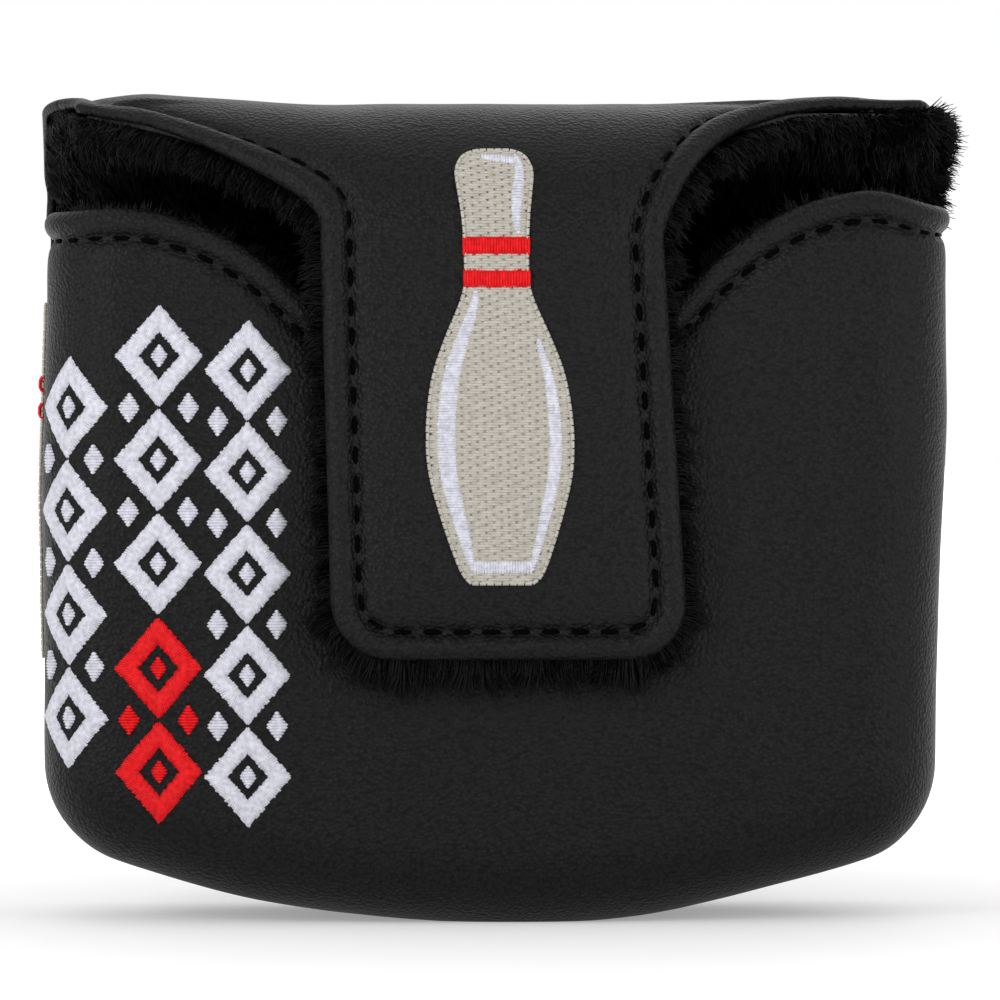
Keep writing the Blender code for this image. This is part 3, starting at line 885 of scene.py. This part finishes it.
def make_plush(name, dark, light, roughness):
    material, nodes, links, shader = new_material(name, light, roughness)
    place = nodes.new("ShaderNodeTexCoord")
    nap = nodes.new("ShaderNodeTexNoise")
    nap.inputs["Scale"].default_value = 900
    nap.inputs["Detail"].default_value = 4
    links.new(place.outputs["Object"], nap.inputs["Vector"])
    tone = nodes.new("ShaderNodeMixRGB")
    tone.inputs["Color1"].default_value = (*dark, 1)
    tone.inputs["Color2"].default_value = (*light, 1)
    links.new(nap.outputs["Fac"], tone.inputs["Fac"])
    links.new(tone.outputs["Color"], shader.inputs["Base Color"])
    bump = add_bump(nodes, links, nap.outputs["Fac"], 0.8, 0.5 * mm)
    links.new(bump.outputs["Normal"], shader.inputs["Normal"])
    return material, shader


plush_ground, ground_shader = make_plush(
    "plush_ground", (0.0008, 0.0008, 0.001), (0.002, 0.002, 0.0024), 0.95
)
ground_shader.inputs["IOR"].default_value = 1.08
plush_pile, pile_shader = make_plush("plush_pile", (0.0008, 0.0008, 0.0011), (0.0035, 0.0036, 0.0048), 0.5)
pile_shader.inputs["IOR"].default_value = 1.22


def ground_depth(at, depth):
    return -depth - 0.35 * mm * (0.5 + 0.5 * noise.noise(at / (2.4 * mm)))


def front_ground(across, down):
    u, v = front_blank(across, down)
    return front_surface(u, v, ground_depth(Vector((u, 2, v)), 3.9 * mm))[0]


def flap_ground_lift(x, run):
    """The plush follows the leather up where the wings are thin and have no foam."""
    near_edge = 1 - smooth_step((from_flap_edge(x, run) - 1 * mm) / (5 * mm))
    return ground_depth(Vector((x, 4, run)), 3.3 * mm - 1.7 * mm * near_edge * wing_end(x))


def back_ground(across, down):
    u, v = back_blank(across, down)
    above = smooth_step((v - arch_foot) / (9 * mm))
    run = min(arch_length, arch_length - (v - arch_foot))
    lift = mix(ground_depth(Vector((u, 3, v)), 3.4 * mm), flap_ground_lift(u, run), above)
    return back_surface(u, v, lift)[0]


front_ground_grid = sheet_grid(110, 70, front_ground)
face_out(front_ground_grid, lambda at: Vector((0, -1, 0)) if abs(at.x) < 0.045 else Vector((at.x, 0, 0)))
front_plush = thicken(add_piece("front_plush", front_ground_grid, plush_ground), ground_thickness)
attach(front_plush, "pouch")
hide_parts("front_lining")

back_ground_grid = sheet_grid(90, 110, back_ground)
face_out(back_ground_grid, lambda at: Vector((0, 1, 0)))
back_plush = thicken(add_piece("back_plush", back_ground_grid, plush_ground), ground_thickness)
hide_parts("back_lining", "roof_lining")

flap_ground_grid = flap_sheet(70, 90, 0.5 * mm, split_run, flap_ground_lift)
face_out(flap_ground_grid, lambda at: Vector((0, -1, 0.5)))
flap_plush = thicken(add_piece("flap_plush", flap_ground_grid, plush_ground), ground_thickness)
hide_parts("tongue_lining")


def fibre(root, out, length, lean, wild=0.3, tuft=1.0):
    """One fibre of the pile: up from its root, then over with its neighbours."""
    bend = noise.noise_vector(root / (1.9 * mm)) * 0.75 + noise.noise_vector(root / (0.8 * mm)) * 0.5
    bend = bend * tuft + lean + Vector([random.uniform(-wild, wild) for _ in range(3)])
    size = length * random.uniform(0.75, 1.1)
    middle = root + out * size * 0.55 + bend * size * 0.16
    tip = root + out * size * 0.8 + bend * size * 0.66
    return [root, middle, tip]


def pile_on(ground, count, length, lean, keep=lambda root: True):
    """Fibres rooted at random over a ground's inner face."""
    mesh = ground.data
    faces = [face for face in mesh.polygons if keep(face.center)]
    areas = [face.area for face in faces]
    fibres = []
    for face in random.choices(faces, weights=areas, k=count):
        a, b, c, d = (mesh.vertices[i].co for i in face.vertices)
        root = a.lerp(b, random.random()).lerp(d.lerp(c, random.random()), random.random())
        out = -face.normal
        fibres.append(fibre(root + out * ground_thickness * 0.8, out, length, lean))
    return fibres


def fringe_on(ground, count, length, outward, lean, keep=lambda root: True, wild=0.2, tuft=1.0):
    """Fibres that stand out past a ground's free edge."""
    bm = bmesh.new()
    bm.from_mesh(ground.data)
    bm.normal_update()
    places = []
    for edge in bm.edges:
        middle = (edge.verts[0].co + edge.verts[1].co) / 2
        if edge.is_boundary and keep(middle):
            face = edge.link_faces[0]
            out = (edge.verts[1].co - edge.verts[0].co).normalized().cross(face.normal)
            if out.dot(middle - face.calc_center_median()) < 0:
                out.negate()
            ends = (edge.verts[0].co.copy(), edge.verts[1].co.copy())
            places.append((*ends, out, face.normal.copy()))
    bm.free()
    spans = [(b - a).length for a, b, _, _ in places]
    fibres = []
    for a, b, out, normal in random.choices(places, weights=spans, k=count):
        root = a.lerp(b, random.random()) - normal * ground_thickness * random.uniform(-0.6, 1.2)
        way = (out * outward - normal * random.uniform(-0.25, 0.6)).normalized()
        size = length * random.uniform(0.7, 1.0)
        fibres.append(fibre(root - out * 0.5 * mm, way, size, lean, wild, tuft))
    return fibres


fibre_tapers = (1.0, 0.95, 0.35)
down_lean = Vector((0, 0, -0.3))
fine_fibre = 0.12 * mm
random.seed(4)
noise.seed_set(4)


def add_pile(name, fibres, radius):
    piece = threads(name, fibres, radius, plush_pile, fibre_tapers)
    return piece


def by_the_mouth(at):
    return at.z > mouth_edge(at.x) - 7 * mm


def under_left_wing(at):
    return at.z > 84 * mm and -61.5 * mm < at.x < 0


def at_left_edge(at):
    return at.z > 90 * mm and at.x <= -61.5 * mm


def under_right_wing(at):
    return at.z > 84 * mm and at.x > 0


def on_right_edge(at):
    return at.x > 55 * mm and at.z > 95 * mm


pocket_pile = add_pile(
    "pocket_pile",
    pile_on(front_plush, 5200, 4.4 * mm, down_lean)
    + pile_on(back_plush, 2000, 4.4 * mm, down_lean, lambda at: at.z < 84 * mm),
    0.17 * mm,
)
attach(pocket_pile, "pouch")
hem_pile = add_pile(
    "hem_pile",
    fringe_on(front_plush, 6000, 3.6 * mm, 1.0, Vector((0, 0.25, 0)), by_the_mouth)
    + pile_on(front_plush, 2500, 3.6 * mm, Vector((0, 0, 0.3)), by_the_mouth),
    fine_fibre,
)
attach(hem_pile, "pouch")
wing_pile_left = add_pile(
    "wing_pile_left",
    pile_on(back_plush, 8300, 4.2 * mm, Vector((0.5, 0, -0.35)), under_left_wing)
    + pile_on(back_plush, 1400, 2.8 * mm, Vector((1.1, 0, -0.3)), at_left_edge),
    fine_fibre,
)
wing_pile_right = add_pile(
    "wing_pile_right",
    pile_on(back_plush, 8000, 4.4 * mm, Vector((0.1, 0, -0.3)), under_right_wing),
    fine_fibre,
)
edge_pile_right = add_pile(
    "edge_pile_right",
    fringe_on(back_plush, 9000, 5.4 * mm, 1.0, Vector((0.05, -0.1, -0.22)), on_right_edge, 0.34, 0.5),
    0.1 * mm,
)
for wing_pile in (wing_pile_left, wing_pile_right, edge_pile_right):
    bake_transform(wing_pile)


def on_flap_side(at):
    return not at_split(at) and at.z > tongue_low.z + 5 * mm and at.x > -58 * mm


def on_left_tip(at):
    return not at_split(at) and at.x <= -57 * mm


def at_tongue_foot(at):
    return at.z < tongue_low.z + 8 * mm


flap_pile = add_pile("flap_pile", pile_on(flap_plush, 8000, 3.6 * mm, down_lean), 0.15 * mm)
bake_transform(flap_pile)
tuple(bend_before)
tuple(bend_after)
flap_fringe = add_pile(
    "flap_fringe",
    fringe_on(flap_plush, 5600, 4.2 * mm, 1.0, down_lean, on_flap_side)
    + fringe_on(flap_plush, 3300, 5.4 * mm, 1.0, down_lean, at_tongue_foot)
    + fringe_on(flap_plush, 900, 2.4 * mm, 0.6, Vector((0.9, 0, -0.7)), on_left_tip),
    fine_fibre,
)
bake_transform(flap_fringe)
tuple(bend_before)
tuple(bend_after)
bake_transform(back_plush)
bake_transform(flap_plush)
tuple(bend_before)
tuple(bend_after)

# ---------------------------------------------------------------- Front ornament
# Three rows of hollow lozenges, satin-stitched in cool white and red silk-like thread on the left of
# the front. Each thread lies across the stroke, and its ends give the stroke a finely toothed edge.

white_thread = make_thread("white_thread", (0.5, 0.5, 0.56), (0.72, 0.72, 0.8), 0.42, 0.12)
red_thread = make_thread("red_thread", (0.56, 0.003, 0.005), (0.8, 0.012, 0.016), 0.42)
silk = {"white_thread": white_thread, "red_thread": red_thread}
satin_pitch = 0.38 * mm
satin_radius = 0.24 * mm
satin_arch = ((0.0, -0.25), (0.08, 0.14), (0.3, 0.4), (0.7, 0.4), (0.92, 0.14), (1.0, -0.25))


def on_front(u, v, lift):
    return front_surface(u, v, front_lift(u, v) + lift)[0]


def satin(place, edge_a, edge_b, puff=1.0, ragged=0.13 * mm, pitch=satin_pitch):
    """Threads laid side by side from one edge of a stroke to the other. Each edge is its two ends."""
    (a0, a1), (b0, b1) = edge_a, edge_b
    count = max(1, round(max((a1 - a0).length, (b1 - b0).length) / pitch))
    lines = []
    for k in range(count):
        share = (k + 0.5) / count
        a, b = a0.lerp(a1, share), b0.lerp(b1, share)
        way = (b - a).normalized()
        a = a - way * random.uniform(-ragged, ragged)
        b = b + way * random.uniform(-ragged, ragged)
        line = []
        for t, height in satin_arch:
            at = a.lerp(b, t)
            line.append(place(at.x, at.y, height * puff * mm))
        lines.append(line)
    return lines


def corners_of(centre, across, up):
    turns = ((1, 0), (0, 1), (-1, 0), (0, -1))
    return [centre + Vector((across * x, up * y)) for x, y in turns]


def hollow_lozenge(place, centre, across, up, stroke):
    """A lozenge's four strokes, mitred at its corners."""
    slant = math.hypot(across, up)
    outer = corners_of(centre, across, up)
    inner = corners_of(centre, across - stroke * slant / up, up - stroke * slant / across)
    lines = []
    for k in range(4):
        n = (k + 1) % 4
        lines += satin(place, (outer[k], outer[n]), (inner[k], inner[n]))
    return lines


def solid_lozenge(place, centre, across, up):
    right, top, left, bottom = corners_of(centre, across, up)
    lower = satin(place, (bottom, left), (bottom, right), ragged=0.06 * mm, pitch=0.5 * mm)
    return lower + satin(place, (left, top), (right, top), ragged=0.06 * mm, pitch=0.5 * mm)


def lozenge_row(middle, low, high, count):
    """A chain of hollow lozenges with a small solid one in each and at each side of each joint."""
    step = (high - low) / count
    across, stroke = 6.0 * mm, 2.35 * mm
    up = step / 2 - 0.12 * mm
    lines = []
    for k in range(count):
        centre = Vector((middle, low + step * (k + 0.5)))
        lines += hollow_lozenge(on_front, centre, across, up, stroke)
        lines += solid_lozenge(on_front, centre, 1.15 * mm, 1.5 * mm)
        if k:
            for side in (-1, 1):
                joint = Vector((middle + side * 4.1 * mm, low + step * k))
                lines += solid_lozenge(on_front, joint, 1.5 * mm, 2.0 * mm)
    return lines


ornament_rows = (
    ("ornament_row_inner", -35.2 * mm, 14.0 * mm, 84.8 * mm, 5, "white_thread"),
    ("ornament_row_middle", -47.5 * mm, 43.6 * mm, 87.0 * mm, 3, "white_thread"),
    ("ornament_row_middle_red", -47.5 * mm, 14.6 * mm, 43.5 * mm, 2, "red_thread"),
    ("ornament_row_outer", -60.4 * mm, 22.0 * mm, 79.8 * mm, 4, "white_thread"),
)
for node, middle, low, high, count, slot in ornament_rows:
    lines = lozenge_row(middle, low, high, count)
    row = threads(f"{node}_threads", lines, satin_radius, silk[slot])
    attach(row, "pouch")
    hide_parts(node)

# ---------------------------------------------------------------- Embroidered pins
# A ten-pin on the tongue and a smaller one on the left side wall. The body is filled with rows of
# ivory running stitches, edged with a line of short ones, with red satin bands round the neck and
# cool white satin lights along its sides.

silk["ivory_thread"] = make_thread("ivory_thread", (0.4, 0.375, 0.325), (0.52, 0.49, 0.435), 0.5, 0.1)
pin_shape = (  # share of the pin's height, and half-width there in millimetres
    (0.0, 4.5),
    (0.02, 5.6),
    (0.076, 7.0),
    (0.162, 8.7),
    (0.249, 10.05),
    (0.329, 10.4),
    (0.421, 9.95),
    (0.493, 9.0),
    (0.565, 7.3),
    (0.664, 4.75),
    (0.73, 4.4),
    (0.831, 4.65),
    (0.884, 5.05),
    (0.942, 5.4),
    (0.977, 4.7),
    (0.993, 3.5),
    (1.0, 2.2),
)
row_pitch = 0.36 * mm
fill_radius = 0.27 * mm
stitch_length = 3.15 * mm
running_stitch = ((0, -0.5), (0.06, 0.1), (0.13, 0.27), (0.5, 0.32), (0.87, 0.27), (0.94, 0.1))


def pin_half(share):
    """Half-width of the pin, for a share of its height, as a smooth curve through its shape."""
    k = max(n for n in range(len(pin_shape) - 1) if pin_shape[n][0] <= share or n == 0)
    points = [pin_shape[min(len(pin_shape) - 1, max(0, k + n))] for n in (-1, 0, 1, 2)]
    (x0, y0), (x1, y1), (x2, y2), (x3, y3) = points
    t = min(1.0, (share - x1) / (x2 - x1))
    near = (y2 - y0) / max(1e-6, x2 - x0) * (x2 - x1)
    far = (y3 - y1) / max(1e-6, x3 - x1) * (x2 - x1)
    a = 2 * t**3 - 3 * t**2 + 1
    b = t**3 - 2 * t**2 + t
    c = -2 * t**3 + 3 * t**2
    return (a * y1 + b * near + c * y2 + (t**3 - t**2) * far) * mm


def pin_fill(place, centre_at, height, scale):
    """Rows of running stitches, each row's needle holes a third of a stitch on from the last's."""
    rows = round(height / row_pitch)
    lines = []
    for k in range(rows):
        share = (k + 0.5) / rows
        half = pin_half(share) * scale
        centre = centre_at(share)
        first = math.floor(-half / stitch_length) - 1
        line = [place(centre - half, share, 0.1 * mm)]
        for n in range(first, -first + 1):
            for phase, rise in running_stitch:
                x = (n + k % 3 / 3 + phase) * stitch_length + random.uniform(-0.06, 0.06) * mm
                if 0.35 * mm - half <= x <= half - 0.35 * mm:
                    line.append(place(centre + x, share, (rise + random.uniform(0, 0.03)) * mm))
        lines.append([*line, place(centre + half, share, 0.1 * mm)])
    return lines


def pin_outline(place, centre_at, scale):
    """Short stitches all along the pin's edge."""
    steps = 300
    edge = []
    for side in (-1, 1):
        shares = [n / steps for n in range(steps + 1)]
        for share in shares if side < 0 else reversed(shares):
            half = pin_half(share) * scale
            edge.append((place(centre_at(share) + side * half, share, 0.36 * mm), Vector((0, 0, 1))))
    holes = [point for point, _ in walk(edge + edge[:1], 1.05 * mm)]
    return [[a.lerp(b, 0.08), a.lerp(b, 0.5), a.lerp(b, 0.92)] for a, b in zip(holes, holes[1:])]


def pin_band(place, centre_at, height, scale, share, depth):
    """A red band of upright satin threads."""
    half = pin_half(share) * scale + 0.35 * mm
    low, high = share - depth / height / 2, share + depth / height / 2
    lines = []
    count = round(2 * half / satin_pitch)
    for k in range(count):
        x = centre_at(share) - half + 2 * half * (k + 0.5) / count
        jitter = random.uniform(-0.1, 0.1) * mm / height
        steps = [(mix(low, high, t) + jitter, h) for t, h in satin_arch]
        lines.append([place(x, at, (0.42 + h * 0.8) * mm) for at, h in steps])
    return lines


def pin_light(place, centre_at, height, scale, side, low, high, inset, width):
    """A slim satin light that follows one side of the pin and tapers at both ends."""
    count = round((high - low) * height / satin_pitch)
    lines = []
    for k in range(count):
        share = mix(low, high, (k + 0.5) / count)
        fullness = math.sin(math.pi * (k + 0.5) / count) ** 0.45
        outer = pin_half(share) * scale - inset
        inner = outer - width * fullness
        lines.append(
            [
                place(centre_at(share) + side * mix(outer, inner, t), share, (0.36 + 0.5 * h) * mm)
                for t, h in satin_arch
            ]
        )
    return lines


pin_foot_run = 48.3 * mm - arch_foot
pin_height = 60.4 * mm
pin_scale = 0.965  # leaves room for the edge stitches' own width


def on_tongue(x, share, lift):
    run = pin_foot_run + pin_height * share
    return flap_surface(x, run, flap_lift(x, run) + lift)[0]


def tongue_pin_middle(share):
    return mix(-0.2, -1.4, share) * mm


big_pin = (on_tongue, tongue_pin_middle, pin_height, pin_scale)


def pin_foot_light():
    """The light runs on along the pin's foot."""
    low, high = 0.024, 0.05
    half = pin_half(0.04) * pin_scale - 1.9 * mm
    count = round(2 * half / satin_pitch)
    lines = []
    for k in range(count):
        x = tongue_pin_middle(low) - half + 2 * half * (k + 0.5) / count
        lines.append([on_tongue(x, mix(low, high, t), (0.4 + 0.5 * h) * mm) for t, h in satin_arch])
    return lines


def pin_crown_light():
    """The head's light starts along its crown, and drops a little towards the corner."""
    left, right = -1.6 * mm, 3.6 * mm
    count = round((right - left) / satin_pitch)
    lines = []
    for k in range(count):
        share = (k + 0.5) / count
        x = tongue_pin_middle(1) + mix(left, right, share)
        high = 0.986 - 0.012 * share**2
        low = high - 0.017 * math.sin(math.pi * mix(0.2, 0.7, share))
        lines.append([on_tongue(x, mix(low, high, t), (0.42 + 0.5 * h) * mm) for t, h in satin_arch])
    return lines


pin_pieces = (
    (
        "pin_fill_threads",
        "pin_fill",
        "ivory_thread",
        pin_fill(*big_pin) + pin_outline(on_tongue, tongue_pin_middle, pin_scale),
    ),
    ("pin_band_upper_threads", "pin_band_upper", "red_thread", pin_band(*big_pin, 0.774, 2.3 * mm)),
    ("pin_band_lower_threads", "pin_band_lower", "red_thread", pin_band(*big_pin, 0.698, 2.3 * mm)),
    (
        "pin_light_left",
        "pin_line_left",
        "white_thread",
        pin_light(*big_pin, -1, 0.03, 0.67, 1.35 * mm, 2.5 * mm),
    ),
    (
        "pin_light_right",
        "pin_line_right",
        "white_thread",
        pin_light(*big_pin, 1, 0.03, 0.56, 1.5 * mm, 1.7 * mm),
    ),
    (
        "pin_light_head",
        "pin_line_head",
        "white_thread",
        pin_light(*big_pin, 1, 0.80, 0.985, 1.1 * mm, 1.4 * mm) + pin_crown_light(),
    ),
    ("pin_light_foot", "pin_line_foot", "white_thread", pin_foot_light()),
)
for name, node, slot, lines in pin_pieces:
    piece = threads(name, lines, fill_radius if "fill" in node else satin_radius, silk[slot])
    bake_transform(piece)
    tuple(bend_before)
    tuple(bend_after)
    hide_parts(node)

side_pin_low, side_pin_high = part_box("side_pin_fill")
side_pin_height = side_pin_high.z - side_pin_low.z
side_pin_scale = side_pin_height / pin_height
side_pin_across = -79.2 * mm


def on_side(u, share, lift):
    return on_front(u, side_pin_low.z + side_pin_height * share, lift)


def side_pin_middle(_):
    return side_pin_across


side_pin = (on_side, side_pin_middle, side_pin_height, side_pin_scale)
side_pieces = (
    (
        "side_pin_threads",
        "side_pin_fill",
        "ivory_thread",
        pin_fill(*side_pin) + pin_outline(on_side, side_pin_middle, side_pin_scale),
    ),
    ("side_pin_upper_threads", "side_pin_band_upper", "red_thread", pin_band(*side_pin, 0.774, 2.0 * mm)),
    ("side_pin_lower_threads", "side_pin_band_lower", "red_thread", pin_band(*side_pin, 0.698, 2.0 * mm)),
)
for name, node, slot, lines in side_pieces:
    piece = threads(name, lines, satin_radius, silk[slot])
    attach(piece, "pouch")
    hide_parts(node)

# ---------------------------------------------------------------- Side seam, backings and magnets
# The front is sewn to the back right round the sides and the base, and the pulled stitches show as
# small dashes in the seam. Inside, cut-away cloth backs the embroidery and two patches hold magnets.


def seam_line():
    """Round the pouch along the seam, from the left side's top down, under the base and up."""
    line = []
    for k in range(241):
        share = k / 120 - 1
        if abs(share) > 0.5:
            straight = blank_rim(0.0, front_reach, front_fillet)
            part = (abs(share) - 0.5) / 0.5
            u, v = math.copysign(straight.x, share), mix(straight.y, 92 * mm, part)
        else:
            u, v = blank_rim(math.radians(-90 + 180 * share), front_reach, front_fillet)
        line.append(front_surface(u, v))
    return line


def seam_stitches():
    """Stitches that cross the seam from one leather to the other."""
    across = Vector((0, 1, 0))
    steps = (-1, -0.5, 0, 0.5, 1)
    lines = []
    for at, out in walk(seam_line(), 3.2 * mm):
        middle = at + across * (seam_roll + 0.1 * mm) - out * 0.75 * mm
        line = [middle + across * t * 1.2 * mm - out * abs(t) ** 3 * 0.9 * mm for t in steps]
        lines.append(line)
    return lines


seam_thread = threads("seam_stitches", seam_stitches(), 0.22 * mm, black_thread)
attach(seam_thread, "pouch")
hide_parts("side_seam_thread")


def make_backing():
    """Cut-away stabiliser: a matt felted cloth with short fibres pressed in every direction."""
    material, nodes, links, shader = new_material("felt_backing", (0.5, 0.5, 0.48), 0.92)
    place = nodes.new("ShaderNodeTexCoord")
    felt = nodes.new("ShaderNodeTexNoise")
    felt.inputs["Scale"].default_value = 1300
    felt.inputs["Detail"].default_value = 6
    felt.inputs["Distortion"].default_value = 1.2
    links.new(place.outputs["Object"], felt.inputs["Vector"])
    tone = nodes.new("ShaderNodeMixRGB")
    tone.inputs["Color1"].default_value = (0.02, 0.02, 0.021, 1)
    tone.inputs["Color2"].default_value = (0.05, 0.05, 0.052, 1)
    links.new(felt.outputs["Fac"], tone.inputs["Fac"])
    links.new(tone.outputs["Color"], shader.inputs["Base Color"])
    bump = add_bump(nodes, links, felt.outputs["Fac"], 0.5, 0.2 * mm)
    links.new(bump.outputs["Normal"], shader.inputs["Normal"])
    return material


def make_magnet():
    """Nickel-plated magnet, very slightly uneven."""
    material, nodes, links, shader = new_material("nickel", (0.62, 0.6, 0.57), 0.25)
    shader.inputs["Metallic"].default_value = 1.0
    place = nodes.new("ShaderNodeTexCoord")
    scuffs = nodes.new("ShaderNodeTexNoise")
    scuffs.inputs["Scale"].default_value = 700
    links.new(place.outputs["Object"], scuffs.inputs["Vector"])
    gloss = nodes.new("ShaderNodeMapRange")
    gloss.inputs["To Min"].default_value = 0.18
    gloss.inputs["To Max"].default_value = 0.4
    links.new(scuffs.outputs["Fac"], gloss.inputs["Value"])
    links.new(gloss.outputs["Result"], shader.inputs["Roughness"])
    return material


felt_backing, nickel = make_backing(), make_magnet()
for node in frame["nodes"]:
    shown = bpy.data.objects.get(node)
    if shown and ("backing" in node or "patch" in node or "magnet" in node):
        finish = felt_backing if "backing" in node or "patch" in node else nickel
        shown.data.materials.clear()
        shown.data.materials.append(finish)

# ---------------------------------------------------------------- Studio
# A pale floor that fades into white surroundings, a soft lamp on each side in front, weaker ones
# above and behind, and a long lens a little to the left of the cover and just above its middle.

camera_data = bpy.data.cameras.new("camera")
camera_data.lens = 250
camera = bpy.data.objects.new("camera", camera_data)
bpy.context.scene.collection.objects.link(camera)
look_at = Vector((0.5, 0.0, 59.2)) * mm
view_turn = math.radians(-2.5)
view_rise = math.radians(1.5)
view_distance = 0.985
camera.location = look_at + view_distance * Vector(
    (
        math.sin(view_turn) * math.cos(view_rise),
        -math.cos(view_turn) * math.cos(view_rise),
        math.sin(view_rise),
    )
)
camera.rotation_euler = (look_at - camera.location).to_track_quat("-Z", "Y").to_euler()
bpy.context.scene.camera = camera


def add_lamp(name, place, size, power):
    data = bpy.data.lights.new(name, "AREA")
    data.shape = "RECTANGLE"
    data.size, data.size_y = size
    data.energy = power
    lamp = bpy.data.objects.new(name, data)
    bpy.context.scene.collection.objects.link(lamp)
    lamp.location = place
    lamp.rotation_euler = (look_at - lamp.location).to_track_quat("-Z", "Y").to_euler()


add_lamp("key_lamp", Vector((-0.6, -0.68, 0.4)), (0.25, 0.5), 3.0)
add_lamp("fill_lamp", Vector((0.6, -0.62, 0.32)), (0.25, 0.5), 1.8)
add_lamp("top_lamp", Vector((0.0, 0.1, 0.9)), (0.7, 0.4), 0.4)
add_lamp("back_lamp", Vector((0.2, 0.7, 0.5)), (0.6, 0.4), 0.6)

world = bpy.data.worlds.new("studio")
world.use_nodes = True
bpy.context.scene.world = world


def seen_plainly(nodes, links):
    """1 for the camera and for mirrored or refracted views, and 0 for the light that things get."""
    path = nodes.new("ShaderNodeLightPath")
    seen = None
    for kind in ("Is Camera Ray", "Is Glossy Ray", "Is Transmission Ray"):
        either = nodes.new("ShaderNodeMath")
        either.operation = "MAXIMUM"
        links.new(path.outputs[kind], either.inputs[0])
        if seen:
            links.new(seen, either.inputs[1])
        seen = either.outputs["Value"]
    return seen


sky_nodes, sky_links = world.node_tree.nodes, world.node_tree.links
sky = sky_nodes["Background"]
sky.inputs["Color"].default_value = (1, 1, 1, 1)
soft_light = 0.35
level = sky_nodes.new("ShaderNodeMapRange")
level.inputs["To Min"].default_value = soft_light
level.inputs["To Max"].default_value = 1.0
sky_links.new(seen_plainly(sky_nodes, sky_links), level.inputs["Value"])
sky_links.new(level.outputs["Result"], sky.inputs["Strength"])

floor_bm = bmesh.new()
bmesh.ops.create_grid(floor_bm, x_segments=2, y_segments=2, size=3)
floor_material, floor_nodes, floor_links, floor_shader = new_material("floor", (0.8, 0.8, 0.8), 0.9)
floor_place = floor_nodes.new("ShaderNodeTexCoord")
floor_away = floor_nodes.new("ShaderNodeVectorMath")
floor_away.operation = "LENGTH"
floor_links.new(floor_place.outputs["Object"], floor_away.inputs[0])
floor_glow = floor_nodes.new("ShaderNodeMapRange")
floor_glow.interpolation_type = "SMOOTHSTEP"
floor_glow.inputs["From Min"].default_value = 0.06
floor_glow.inputs["From Max"].default_value = 0.3
floor_glow.inputs["To Min"].default_value = 0.3
floor_glow.inputs["To Max"].default_value = 1.0
floor_links.new(floor_away.outputs["Value"], floor_glow.inputs["Value"])
floor_seen = floor_nodes.new("ShaderNodeMath")
floor_seen.operation = "MULTIPLY"
floor_links.new(floor_glow.outputs["Result"], floor_seen.inputs[0])
floor_links.new(seen_plainly(floor_nodes, floor_links), floor_seen.inputs[1])
floor_shader.inputs["Emission Color"].default_value = (1, 1, 1, 1)
floor_links.new(floor_seen.outputs["Value"], floor_shader.inputs["Emission Strength"])
floor = add_piece("floor", floor_bm, floor_material)

bpy.context.scene.view_settings.view_transform = "Standard"
